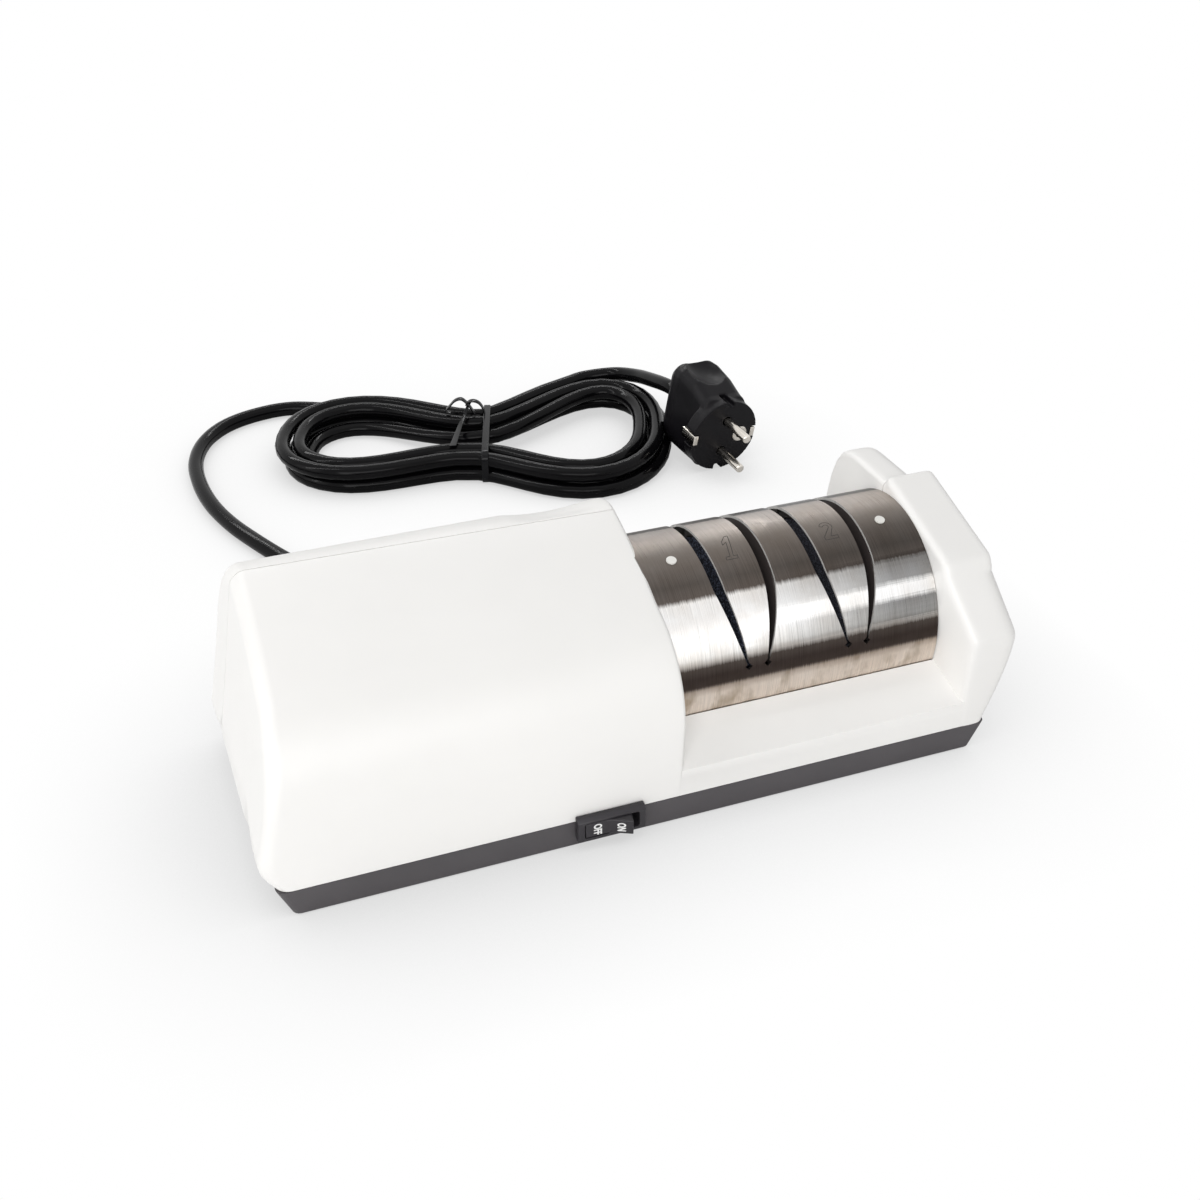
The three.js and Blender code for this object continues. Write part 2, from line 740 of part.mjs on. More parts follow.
function slotCutter(stageX, side) {
  const sections = [];
  const steps = 28;
  const [low, high] = [guideRadius - guideThickness - cutOverrun, guideRadius + cutOverrun];
  for (let i = 0; i <= steps; i += 1) {
    const angle = slotTipAngle + ((180 - 2 * slotTipAngle) * i) / steps;
    const half = (slotWidth / 2) * slotShare(angle);
    const [c, s] = [-Math.cos(radians(angle)), Math.sin(radians(angle))];
    const middle = stageX + side * slotOffset(spindleZ + guideRadius * s);
    sections.push([
      [middle - half, low * c, spindleZ + low * s], [middle + half, low * c, spindleZ + low * s],
      [middle + half, high * c, spindleZ + high * s], [middle - half, high * c, spindleZ + high * s],
    ]);
  }
  return loft(sections);
}

function reliefCutter(stageX, side, end) {
  const x = stageX + side * slotTipOffset;
  const outline = [[x - slotRelief, slotTipZ], [x, slotTipZ - slotRelief], [x + slotRelief, slotTipZ],
    [x, slotTipZ + slotRelief]];
  const reach = guideRadius + cutOverrun;
  return end < 0 ? prismY(outline, -reach, -reach / 2) : prismY(outline, reach / 2, reach);
}

function guideOutline(inner, outer) {
  const arch = (radius) => arcPoints([0, spindleZ], radius, -guideFoot, 180 + guideFoot, counts.guide);
  return [...arch(outer), ...arch(inner).reverse()];
}

function pegSolid(radius, x, fromRadius, toRadius) {
  const geometry = new THREE.CylinderGeometry(radius, radius, toRadius - fromRadius, counts.small);
  geometry.translate(0, (fromRadius + toRadius) / 2, 0);
  geometry.rotateX(radians(180 - pegAngle));
  geometry.translate(x, 0, spindleZ);
  return solidOf(geometry);
}

// The frame's arches stand between the guide's ends and the outermost slots.
const archReach = stageMargin - slotOffset(spindleZ + guideRadius) - slotWidth / 2 - insertLip - fitGap;
const archSpans = [
  [guideFromX + frameSetback, housingFaceX + archReach], [blockFaceX - archReach, guideToX - frameSetback],
];
const pegXs = archSpans.map(([from, to]) => (from + to) / 2);

function addGuide() {
  let guide = prismX(guideOutline(guideRadius - guideThickness, guideRadius), guideFromX, guideToX);
  for (const stageX of stageXs) {
    for (const side of [-1, 1]) {
      guide = guide.subtract(slotCutter(stageX, side));
      for (const end of [-1, 1]) guide = guide.subtract(reliefCutter(stageX, side, end));
    }
  }
  for (const x of pegXs) {
    guide = guide.subtract(pegSolid(guideHoleRadius, x, guideRadius - cutOverrun, guideRadius + cutOverrun));
  }
  addPiece('steel_guide', guide, 'steel');
}

// Frame that carries the guide: two arches on legs and two rails, with the locating pegs
function addGuideFrame() {
  const outer = guideRadius - guideThickness - fitGap;
  const inner = outer - frameRing;
  const dip = guideFoot + 3;
  const legOuter = outer * Math.cos(radians(dip));
  const legInner = inner * Math.cos(radians(dip));
  const outline = [
    [legOuter, floorZ + fitGap], ...arcPoints([0, spindleZ], outer, -dip, 180 + dip, counts.round),
    [-legOuter, floorZ + fitGap], [-legInner, floorZ + fitGap],
    ...arcPoints([0, spindleZ], inner, 180 + dip, -dip, counts.round), [legInner, floorZ + fitGap],
  ];
  const arches = archSpans.map(([from, to]) => prismX(outline, from, to));
  const pegs = pegXs.map((x) => pegSolid(pegRadius, x, inner + frameRing / 2, guideRadius + pegProud));
  const railTop = slotTipZ - insertFoot - slotRelief;
  const rails = [-1, 1].map((side) => box(
    pegXs[0], pegXs[1], Math.min(side * outer, side * (outer - railWidth)),
    Math.max(side * outer, side * (outer - railWidth)), railTop - railDepth, railTop,
  ));
  const within = turnedRod(outer, pegXs[0], pegXs[1], counts.ring);
  const trimmed = rails.map((rail) => rail.intersect(within));
  addPiece('guide_frame', joined([...arches, ...pegs, ...trimmed]), 'nylon');
}

// Inserts under the guide: blocks with leaning walls that steer the blade onto the wheels
function insertSolid(left, right) {
  const outer = guideRadius - guideThickness - fitGap;
  const lowZ = slotTipZ - insertFoot + fitGap;
  const topZ = spindleZ + guideRadius;
  const outline = [[left(lowZ), lowZ], [right(lowZ), lowZ], [right(topZ), topZ], [left(topZ), topZ]];
  const slab = prismY(outline, -outer, outer);
  const round = turnedRod(outer, 0, blockFaceX, counts.ring);
  const relief = turnedRod(insertRelief, 0, blockFaceX, counts.round);
  return slab.intersect(round).subtract(relief);
}

function addInserts() {
  const half = slotWidth / 2 + fitGap / 2;
  const wallLeftOf = (stageX) => (z) => stageX - slotOffset(z) - half;
  const wallRightOf = (stageX) => (z) => stageX + slotOffset(z) + half;
  const leftEnd = archSpans[0][1] + fitGap;
  const rightEnd = archSpans[1][0] - fitGap;
  const [first, second] = stageXs;
  addPiece('guide_insert_left', insertSolid(() => leftEnd, wallLeftOf(first)), 'insert');
  addPiece('guide_insert_middle', insertSolid(wallRightOf(first), wallLeftOf(second)), 'insert');
  addPiece('guide_insert_right', insertSolid(wallRightOf(second), () => rightEnd), 'insert');
}

// Spindle with its two double-cone wheels, spacers and nut
function wheelSolid(x) {
  const bore = spindleRadius + fitGap;
  return turned([
    [bore, x - wheelHubHalf], [wheelHubRadius, x - wheelHubHalf], [wheelRadius, x - wheelRimHalf],
    [wheelRadius, x + wheelRimHalf], [wheelHubRadius, x + wheelHubHalf], [bore, x + wheelHubHalf],
    [bore, x - wheelHubHalf],
  ], counts.ring);
}

function addSpindle() {
  const bore = spindleRadius + fitGap;
  const [first, second] = stageXs;
  const reach = wheelHubHalf + fitGap;
  const spacerFrom = leftStandX + bearingLength + fitGap * 2;
  const nutFrom = blockFaceX - nutLength - shellWall;
  addPiece('spindle_shaft', turnedRod(spindleRadius, spindleStartX, spindleEndX, counts.round), 'shaft');
  addPiece('wheel_coarse', wheelSolid(first), 'grit');
  addPiece('wheel_fine', wheelSolid(second), 'fineGrit');
  const spacers = [
    ['spacer_left', spacerFrom, first - reach], ['spacer_middle', first + reach, second - reach],
    ['spacer_right', second + reach, nutFrom - fitGap],
  ];
  for (const [name, from, to] of spacers) {
    addPiece(name, turnedRing(bore, spacerRadius, from, to, counts.round), 'shaft');
  }
  const hexagon = circlePoints([0, spindleZ], nutRadius, 6);
  const nutBore = circlePoints([0, spindleZ], bore, counts.round);
  addPiece('spindle_nut', prismX(hexagon, nutFrom, nutFrom + nutLength, [nutBore]), 'brass');
}

// Upright plate on the base floor with a seat for a bearing
function standOutline(halfWidth, top) {
  const corner = halfWidth / 4;
  return [
    [-halfWidth, floorZ], [halfWidth, floorZ], [halfWidth, spindleZ + top - corner],
    [halfWidth - corner, spindleZ + top], [-halfWidth + corner, spindleZ + top],
    [-halfWidth, spindleZ + top - corner],
  ];
}

function addBearings() {
  const seat = circlePoints([0, spindleZ], bearingRadius + fitGap, counts.round);
  const stands = [['left', leftStandX], ['right', rightStandX]];
  for (const [name, x] of stands) {
    const stand = prismX(standOutline(standHalfWidth, standTop), x, x + standThickness, [seat]);
    addPiece(`bearing_stand_${name}`, stand, 'nylon');
    const from = x + (standThickness - bearingLength) / 2;
    const ring = turnedRing(spindleRadius + fitGap, bearingRadius, from, from + bearingLength, counts.round);
    addPiece(`spindle_bearing_${name}`, ring, 'shaft');
  }
}

// Motor: core and windings between two plates, rotor, shaft, bolts and cooling fan
const plateOffset = coreLength / 2 + windingLength + plateGap;
const plateLeftX = motorCentreX - plateOffset - plateThickness;
const plateRightX = motorCentreX + plateOffset;

function boltPlaces() {
  return [[-1, -1], [1, -1], [1, 1], [-1, 1]].map(([a, b]) => [a * boltPlace, spindleZ + b * boltPlace]);
}

function boltHoles() {
  return boltPlaces().map((place) => circlePoints(place, boltRadius + fitGap, 12));
}

function addMotor() {
  const from = motorCentreX - coreLength / 2;
  const to = motorCentreX + coreLength / 2;
  const coreOutline = roundedOutline(coreHalf, coreHalf, coreCorner, 3).map(([y, z]) => [y, z + spindleZ]);
  const bore = circlePoints([0, spindleZ], rotorRadius + airGap, counts.round);
  addPiece('stator_core', prismX(coreOutline, from, to, [bore, ...boltHoles()]), 'core');
  const windings = [['left', from - fitGap - windingLength], ['right', to + fitGap]];
  for (const [name, start] of windings) addPiece(`winding_${name}`, windingSolid(start), 'copper');
  const rotor = turnedRing(motorShaftRadius + fitGap, rotorRadius, from, to, counts.round);
  addPiece('rotor_core', rotor, 'core');
  const shaftEnd = spindleStartX - fitGap;
  addPiece('motor_shaft', turnedRod(motorShaftRadius, motorShaftLeft, shaftEnd, counts.round), 'shaft');
  addMotorPlates();
  addMotorBolts();
  addPiece('cooling_fan', fanSolid(), 'nylon');
  addPiece('coupling', couplingSolid(), 'black');
}

function windingSolid(start) {
  const chamfer = windingLength / 4;
  const end = start + windingLength;
  return turned([
    [windingInner, start + chamfer], [windingInner + chamfer, start], [windingOuter - chamfer, start],
    [windingOuter, start + chamfer], [windingOuter, end - chamfer], [windingOuter - chamfer, end],
    [windingInner + chamfer, end], [windingInner, end - chamfer], [windingInner, start + chamfer],
  ], counts.round);
}

function addMotorPlates() {
  const seat = circlePoints([0, spindleZ], bearingRadius + fitGap, counts.round);
  for (const [name, x] of [['left', plateLeftX], ['right', plateRightX]]) {
    const plate = prismX(standOutline(coreHalf, coreHalf), x, x + plateThickness, [seat, ...boltHoles()]);
    addPiece(`motor_plate_${name}`, plate, 'core');
    const ring = turnedRing(motorShaftRadius + fitGap, bearingRadius, x, x + plateThickness, counts.round);
    addPiece(`motor_bearing_${name}`, ring, 'brass');
  }
}

function addMotorBolts() {
  const start = plateLeftX - fitGap;
  const end = plateRightX + plateThickness + fitGap;
  boltPlaces().forEach((place, i) => {
    const profile = [
      [0, start - boltHeadLength], [boltHeadRadius, start - boltHeadLength], [boltHeadRadius, start],
      [boltRadius, start], [boltRadius, end], [boltHeadRadius, end],
      [boltHeadRadius, end + boltHeadLength], [0, end + boltHeadLength],
    ];
    addPiece(`motor_bolt_${i + 1}`, turned(profile, 12, place), 'shaft');
  });
}

function fanSolid() {
  const right = plateLeftX - fitGap * 2 - boltHeadLength;
  const left = right - fanDisc;
  const tips = left - fanBladeLength;
  const bore = motorShaftRadius + fitGap;
  const disc = turned([
    [bore, tips], [fanHubRadius, tips], [fanHubRadius, left], [fanRadius, left], [fanRadius, right],
    [bore, right], [bore, tips],
  ], counts.round);
  const blades = [];
  for (let i = 0; i < fanBlades; i += 1) {
    const geometry = new THREE.BoxGeometry(
      fanBladeLength + fanDisc / 2, fanBladeThickness, fanRadius - fanHubRadius,
    );
    geometry.translate((tips + left + fanDisc / 2) / 2, 0, (fanRadius + fanHubRadius) / 2 - fanDisc / 2);
    geometry.rotateX((2 * Math.PI * i) / fanBlades);
    geometry.translate(0, 0, spindleZ);
    blades.push(solidOf(geometry));
  }
  return joined([disc, ...blades]);
}

function couplingSolid() {
  const left = spindleStartX - couplingBack;
  const right = left + couplingLength;
  const middle = spindleStartX - fitGap / 2;
  return turned([
    [motorShaftRadius + fitGap, left], [couplingRadius, left], [couplingRadius, right],
    [spindleRadius + fitGap, right], [spindleRadius + fitGap, middle],
    [motorShaftRadius + fitGap, middle], [motorShaftRadius + fitGap, left],
  ], counts.round);
}

// Rocker switch: bezel and body in one moulding, with the rocker in its well

function addSwitch() {
  const bezel = box(
    switchX - bezelLength / 2, switchX + bezelLength / 2,
    bezelFrontY, rimFrontY - fitGap, bezelLow, bezelHigh,
  );
  const body = box(
    switchX - switchBodyLength / 2, switchX + switchBodyLength / 2,
    bezelFrontY + bezelProud / 2, bezelFrontY + switchBodyDepth, switchBodyLow, switchBodyHigh,
  );
  const well = box(
    switchX - rockerWell, switchX + rockerWell, bezelFrontY - cutOverrun, bezelFrontY + rockerWellDepth,
    rockerMiddleZ - rockerHeight / 2 - fitGap, rockerMiddleZ + rockerHeight / 2 + fitGap,
  );
  addPiece('switch_body', joined([bezel, body]).subtract(well), 'black');
  addRocker();
}

function addRocker() {
  const rearShare = 0.45;
  const outline = [
    [-rockerHalf, -rockerFront], [0, -rockerFront + rockerDip], [rockerHalf, -rockerFront],
    [rockerHalf, -rockerFront / 2], [rockerHalf * rearShare, rockerRear / 2], [0, rockerRear],
    [-rockerHalf * rearShare, rockerRear / 2], [-rockerHalf, -rockerFront / 2],
  ];
  const rocker = addPiece('switch_rocker', prismZ(outline, -rockerHeight / 2, rockerHeight / 2), 'black');
  rocker.rotation.z = radians(-rockerTilt);
  rocker.position.set(switchX, rockerPivotY, rockerMiddleZ);
}

// Strain relief in the rear wall, with a round flange and a tapered sleeve
const wallRearY = -rimFrontY;
const glandFaceY = wallRearY + fitGap;
const glandEndY = glandFaceY + glandFlange + glandSleeve;

function addGland() {
  const profile = [
    [0, wallRearY - shellWall * 2], [glandNeckRadius, wallRearY - shellWall * 2],
    [glandNeckRadius, glandFaceY], [glandFlangeRadius, glandFaceY],
    [glandFlangeRadius, glandFaceY + glandFlange], [glandNeckRadius + fitGap, glandFaceY + glandFlange],
    [glandTipRadius, glandEndY], [0, glandEndY],
  ];
  const geometry = new THREE.LatheGeometry(profile.map(([r, y]) => new THREE.Vector2(r, y)), counts.small);
  geometry.translate(glandX, 0, glandZ);
  addPiece('cord_gland', solidOf(geometry), 'black');
}

// Half width of the hank's innermost loop, and the sideways shift of its middle line
const blendShare = (share) => (1 - Math.cos(Math.PI * Math.min(Math.max(share, 0), 1))) / 2;

function hankPlace(angle) {
  const [c, s] = [Math.cos(angle), Math.sin(angle)];
  const along = hankHalfLength * Math.sign(c) * Math.abs(c) ** hankRoundness;
  const lobe = c < 0 ? hankLobeLeft : hankLobeRight;
  const half = hankWaist + (lobe - hankWaist) * blendShare(Math.abs(along) / hankHalfLength);
  const shift = hankShiftLeft + (hankShiftRight - hankShiftLeft) * blendShare(along / hankHalfLength);
  return new THREE.Vector2(along, shift + half * Math.sign(s) * Math.abs(s) ** hankRoundness);
}

function hankNormal(angle) {
  const reach = radians(hankTurns);
  const along = hankPlace(angle - reach).sub(hankPlace(angle + reach)).normalize();
  return new THREE.Vector2(-along.y, along.x);
}

const hankWhole = 2 * hankTurns + (hankStartAngle - hankEndAngle) / 360;

// A point on the hank's line: in on the lower layer, up along a run, and out on the upper layer.
function hankPoint(turn) {
  const angle = radians(hankStartAngle) - 2 * Math.PI * turn;
  const base = hankPlace(angle);
  const step = hankPitch * (1 + hankWaistSpread * (1 - blendShare(Math.abs(base.x) / hankHalfLength)));
  const flat = base.addScaledVector(hankNormal(angle), step * Math.abs(turn - hankWhole / 2));
  flat.rotateAround(new THREE.Vector2(), radians(hankTurned)).add(new THREE.Vector2(...hankMiddle));
  const climb = blendShare((turn - hankWhole / 2) / climbTurns + 1 / 2);
  return new THREE.Vector3(flat.x, flat.y, hankBottomZ + hankLift * climb);
}

const hankLine = hankLinePoints();

function hankLinePoints() {
  const steps = Math.round(hankWhole * hankSteps);
  const line = [];
  for (let i = 0; i <= steps; i += 1) line.push(hankPoint((hankWhole * i) / steps));
  const straight = (end, inner) => end.clone().add(end.clone().sub(inner).setLength(cordDiameter));
  return [straight(line[0], line[1]), ...line, straight(line[steps], line[steps - 1])];
}

// Six-sided rings square to a nearly flat line, with flats above and below
function ringAround(line, i) {
  const before = line[Math.max(i - 1, 0)];
  const after = line[Math.min(i + 1, line.length - 1)];
  const along = after.clone().sub(before).normalize();
  const side = new THREE.Vector3(along.y, -along.x, 0).normalize();
  const up = side.clone().cross(along);
  const ring = [];
  for (let k = 0; k < hankSides; k += 1) {
    const angle = (2 * Math.PI * (k + 1 / 2)) / hankSides;
    const [a, b] = [Math.cos(angle) * cordDiameter / 2, Math.sin(angle) * cordDiameter / 2];
    ring.push(line[i].clone().addScaledVector(side, b).addScaledVector(up, a).toArray());
  }
  return ring;
}

// Least gap between stretches of the hank that are more than a few diameters apart along it.
function hankGap() {
  const curve = new THREE.CatmullRomCurve3(hankLine);
  const count = hankLine.length * 6;
  const points = curve.getSpacedPoints(count);
  const apart = Math.ceil((4 * cordDiameter * count) / curve.getLength());
  let least = Infinity;
  for (let i = 0; i < count; i += 1) {
    for (let j = i + apart; j <= count; j += 1) least = Math.min(least, points[i].distanceTo(points[j]));
  }
  return least - cordDiameter;
}

function tubeAlong(points, steps) {
  const shape = new THREE.Shape(
    circlePoints([0, 0], cordDiameter / 2, cordSides).map(([a, b]) => new THREE.Vector2(a, b)),
  );
  const extrudePath = new THREE.CatmullRomCurve3(points);
  console.log('cord stretch', extrudePath.getLength().toFixed(0), 'mm');
  return solidOf(new THREE.ExtrudeGeometry(shape, { steps, extrudePath, bevelEnabled: false }));
}

const plugPose = new THREE.Euler(radians(plugNose), radians(plugRoll), radians(plugTurned), 'ZXY');
const plugAxis = new THREE.Vector3(0, -1, 0).applyEuler(plugPose);
const plugFace = new THREE.Vector3(...plugPlace, plugRadius * Math.cos(radians(plugNose)));
const plugBackReach = plugFaceDepth + plugGripDepth + plugCollar;

function addCord() {
  const last = hankLine.length - 1;
  const leadStart = new THREE.Vector3(glandX, glandEndY + spindleY + fitGap, glandZ);
  const intoHank = hankLine[0].clone().sub(hankLine[1]).normalize();
  const outOfHank = hankLine[last].clone().sub(hankLine[last - 1]).normalize();
  const lead = [
    leadStart, ...leadPoints.map((point) => new THREE.Vector3(...point)),
    hankLine[0].clone().addScaledVector(intoHank, cordDiameter),
    hankLine[0].clone().addScaledVector(intoHank, fitGap),
  ];
  const plugBack = plugFace.clone().addScaledVector(plugAxis, -plugBackReach - fitGap);
  const tail = [
    hankLine[last].clone().addScaledVector(outOfHank, fitGap),
    hankLine[last].clone().addScaledVector(outOfHank, cordDiameter),
    ...tailPoints.map((point) => new THREE.Vector3(...point)),
    plugBack.clone().addScaledVector(plugAxis, -cordDiameter), plugBack,
  ];
  addPiece('cord_lead', tubeAlong(lead, leadSteps), 'black', part);
  addPiece('cord_hank', loft(hankLine.map((point, i) => ringAround(hankLine, i))), 'black', part);
  addPiece('cord_tail', tubeAlong(tail, tailSteps), 'black', part);
  addTie();
  console.log('hank', new THREE.CatmullRomCurve3(hankLine).getLength().toFixed(0), 'mm, least gap',
    hankGap().toFixed(2), 'mm');
}

// Twist tie: a band over the waist, from the table on one side to the table on the other
function addTie() {
  const middle = hankShiftLeft + (hankShiftRight - hankShiftLeft) * blendShare(tieAlong / hankHalfLength);
  const inner = hankWaist + tieReachShare * hankTurns * hankPitch + cordDiameter / 2;
  const top = hankBottomZ + hankLift + cordDiameter / 2 + fitGap;
  const outer = inner + tieThickness;
  const corner = cordDiameter / 2;
  const arch = (half, height) => [
    [middle - half, 0], [middle - half, height - corner], [middle - half + corner, height],
    [middle + half - corner, height], [middle + half, height - corner], [middle + half, 0],
  ];
  const outline = [...arch(outer, top + tieThickness), ...arch(inner, top).reverse()];
  const tie = addPiece('cord_tie', prismX(outline, tieAlong, tieAlong + tieWidth), 'black', part);
  tie.rotation.z = radians(hankTurned);
  tie.position.set(...hankMiddle, 0);
}

// Plug lying on its rim: round face with two pins, two earth clips and an earth socket, and a flat grip
function addPlug() {
  const plug = new THREE.Group();
  plug.position.copy(plugFace);
  plug.rotation.copy(plugPose);
  part.add(plug);
  addPiece('plug_body', plugSolid(), 'black', plug);
  for (const [name, side] of [['left', -1], ['right', 1]]) {
    const inside = plugFaceDepth / 2 - fitGap;
    const pin = rodAlongY(plugPinRadius, -plugPinLength, inside, side * plugPinSpread, 0);
    addPiece(`plug_pin_${name}`, solidOf(pin), 'nickel', plug);
  }
  addPiece('plug_clip_top', clipSolid(1, 0), 'nickel', plug);
  addPiece('plug_clip_bottom', clipSolid(-1, 0), 'nickel', plug);
}

function plugSolid() {
  const gripOutline = roundedOutline(plugGripHalf, plugGripLow, plugGripCorner, 3);
  const gripEnd = plugFaceDepth + plugGripDepth;
  const socket = rodAlongY(plugSocketRadius, -cutOverrun, plugFaceDepth - cutOverrun, 0, plugSocketPlace);
  let body = joined([
    solidOf(rodAlongY(plugRadius, 0, plugFaceDepth, 0, 0)),
    prismY(gripOutline, plugFaceDepth / 2, gripEnd),
    solidOf(rodAlongY(plugCollarRadius, plugFaceDepth, plugBackReach, 0, 0)),
  ]).subtract(solidOf(socket));
  for (const side of [-1, 1]) {
    const seat = rodAlongY(plugPinRadius + fitGap, -cutOverrun, plugFaceDepth / 2, side * plugPinSpread, 0);
    const recess = new THREE.SphereGeometry(1, counts.small, counts.small / 2);
    recess.scale(plugRecessDepth, plugRecessSpan, plugGripLow - plugClipThickness * 2);
    recess.translate(side * plugGripHalf, (plugFaceDepth + gripEnd) / 2, 0);
    body = body.subtract(solidOf(seat)).subtract(clipSolid(side, fitGap)).subtract(solidOf(recess));
  }
  return body;
}

function clipSolid(side, spare) {
  const half = plugClipWidth / 2 + spare;
  const near = plugRadius - plugClipThickness * 2 - spare;
  const far = plugRadius - plugClipThickness + spare;
  const [low, high] = side > 0 ? [near, far + spare * cutOverrun] : [-far - spare * cutOverrun, -near];
  return box(-half, half, spare > 0 ? -cutOverrun : 0, plugClipDepth + spare, low, high);
}

addBase();
addFeet();
addShells();
addGuide();
addGuideFrame();
addInserts();
addSpindle();
addBearings();
addMotor();
addSwitch();
addGland();
addCord();
addPlug();

export default part;
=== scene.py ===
import json
from math import atan2, ceil, copysign, cos, hypot, pi, radians, sin, sqrt, tan

import bmesh
import bpy
from mathutils import Matrix, Vector


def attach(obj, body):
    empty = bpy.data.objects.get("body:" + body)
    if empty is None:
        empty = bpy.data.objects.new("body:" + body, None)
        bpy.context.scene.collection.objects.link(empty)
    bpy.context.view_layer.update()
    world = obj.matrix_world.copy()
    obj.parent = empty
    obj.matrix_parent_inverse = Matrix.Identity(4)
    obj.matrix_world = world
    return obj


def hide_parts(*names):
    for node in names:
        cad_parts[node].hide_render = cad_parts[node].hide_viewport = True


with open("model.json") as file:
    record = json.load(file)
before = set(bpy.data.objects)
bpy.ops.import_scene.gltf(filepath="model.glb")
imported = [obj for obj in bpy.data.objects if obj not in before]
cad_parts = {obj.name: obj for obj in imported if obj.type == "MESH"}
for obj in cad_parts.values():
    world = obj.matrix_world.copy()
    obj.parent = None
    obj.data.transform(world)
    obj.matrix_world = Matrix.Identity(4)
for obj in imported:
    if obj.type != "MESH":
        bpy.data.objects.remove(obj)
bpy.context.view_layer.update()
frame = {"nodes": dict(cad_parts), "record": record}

# Lengths are millimetres and angles are degrees, unless a comment says otherwise
MM = 0.001

# Camera
CAMERA_PLACE = (-183.8, -472.15, 389.9)
CAMERA_AIM = (-26.6, -56.05, 110.9)
CAMERA_LENS = 45
SENSOR_WIDTH = 36

# Body, with the spindle's line as its middle plane
SPINDLE_Y = 3.95
SPINDLE_Z = 48
HOUSING_FACE_X = 8
BLOCK_FACE_X = 128.1
HALF_LENGTH = 156
BODY_FRONT_Y = -61.75
RIM_FRONT_Y = -60.05
SHELL_BOTTOM_Z = 13.1
CREASE_Z = 55.1
SHELL_WALL = 2.6
SEAM_GAP = 0.3
# Parting line of the rear shell: its width, and how far back it lies on the housing's roof
PARTING_GAP = 0.45
PARTING_BACK = 1.6
PARTING_SLOPE = 0.031
FAR_BELOW_Z = -10
# Reach of the blocks that cut, well past the body, and their depth into open space
FAR = 400
CUT_DEPTH = 20

# Outer end of each block: half length at the rim, at its widest height and at its top
HOUSING_END = {"rounding": 6, "rim": 151, "wide_z": 24, "top": 143, "top_z": 96.6, "bend": 0.9}
BLOCK_END = {"rounding": 6.5, "rim": 146, "wide_z": CREASE_Z, "top": 143, "top_z": 94.6, "bend": 1.8}
SHOULDER_HEIGHT = 46.9
SHOULDER_RADIUS = 38.2
SHOULDER_TURN = 74
ROOF_BOW = 1.7
REAR_ROUND = (27.7, 66)
REAR_RADIUS = 30.6
REAR_START = 99
# Hollow in the housing's roof, behind its face
DIP_DEPTH = 2.2
DIP_FROM_FACE = 5
DIP_LENGTH = 42
FACE_LEAN = 4.6
FACE_ROUNDING = 1.9
HOUSING_STATIONS = (70, 95, 120, 140)

# End block, with a raised pad on its top, and the apron between the blocks
FACET_TOP = (-41.8, 79.3)
CHEEK_Z = 94.6
CHEEK_FRONT_Y = 9.5
CHEEK_REAR_Y = 38.9
PAD_PROUD = 3.4
PAD_LEAD = 2
PAD_END_INSET = 5
PAD_SKIRT = 13.7
BEVEL_RUN = 5.6
SKIRT_Z = 25.2
APRON_Z = 37.2
APRON_LAP = 1.3
BLOCK_STATIONS = (8, 14)
SOFT_VOXEL = 0.75
SOFT_PASSES = 52
SOFT_GROWTH = 0.2
SOFT_SHARE = 0.45
PAD_ROUNDING = 2.9
BORE_RADIUS = 9.5
BORE_END_X = 140.4
GLAND_HOLE_RADIUS = 6.3

# Guide
GUIDE_RADIUS = 43.6
GUIDE_THICKNESS = 1.1
GUIDE_FOOT = 17
STAGE_XS = (46.5, 90.6)
SLOT_WIDTH = 4.8
SLOT_TILT = 14
SLOT_TIP_OFFSET = 4.1
SLOT_TIP_ANGLE = 9
SLOT_BEND_Z = 82
SLOT_BEND = 0.3
SLOT_RELIEF = 1.6
SLOT_TAPER_SPAN = 45
SLOT_TIP_START = 0.6
SLOT_TAPER_POWER = 0.6
SLOT_STEPS = 90
SLOT_CUT_RADII = (39, 47)
RELIEF_CUT_Y = (24, 47)
GROOVE_RADII = (42.2, 43.9)
# Dark strips under the guide, one in each pair of slots
STRIP_RADII = (37.5, 42.6)
STRIP_ANGLES = (50, 154)
STRIP_HALF = 3.2
STRIP_BEVEL = 0.25
# Etched digits: x, angle up the guide, height and lean
DIGITS = {"1": (47.2, 76.5, 13, 0.2), "2": (90.6, 74.5, 9.5, 0)}
ETCH_RADIUS = 0.15
ETCH_DEPTH = 0.5
ETCH_SPACING = 0.5

# Switch
SWITCH_X = -22.9
SWITCH_Z = 10.5
BEZEL_PROFILE = [(-63.85, 5.2), (-63.85, 14.3), (-62.15, 15.8), (-60.35, 15.8), (-60.35, 5.2)]
BEZEL_HALF = 13.95
BEZEL_BEVEL = 0.35
BODY_HALF = 12.2
BODY_Y = (-61.95, -42.85)
BODY_Z = (6, 15)
WELL_HALVES = (11.3, 3.6)
WELL_ROUNDING = 1.0
WELL_DROP = 0.4
WELL_Y = (-66.85, -51.85)
# Room for the switch in the front shell
NOTCH_HALF = 12.5
NOTCH_Y = (-70, -39)
NOTCH_Z = (10, 15.3)
# Rocker, about its pivot: its face is two halves that rise from a shallow hollow
PIVOT_Y = -57.55
ROCKER_TURNED = -13
ROCKER_HALF = 9.3
ROCKER_Z = (-3.7, 2.9)
ROCKER_BACK = [(9.3, -4.3), (4.2, 1.9), (0, 3.8), (-4.2, 1.9), (-9.3, -4.3)]
ROCKER_FACE_Y = -6.75
ROCKER_RISE = 2.0
ROCKER_RISE_SPAN = 8.2
ROCKER_HOLLOW = 1.4
ROCKER_HOLLOW_Y = 1.18
ROCKER_BEVEL = 0.9
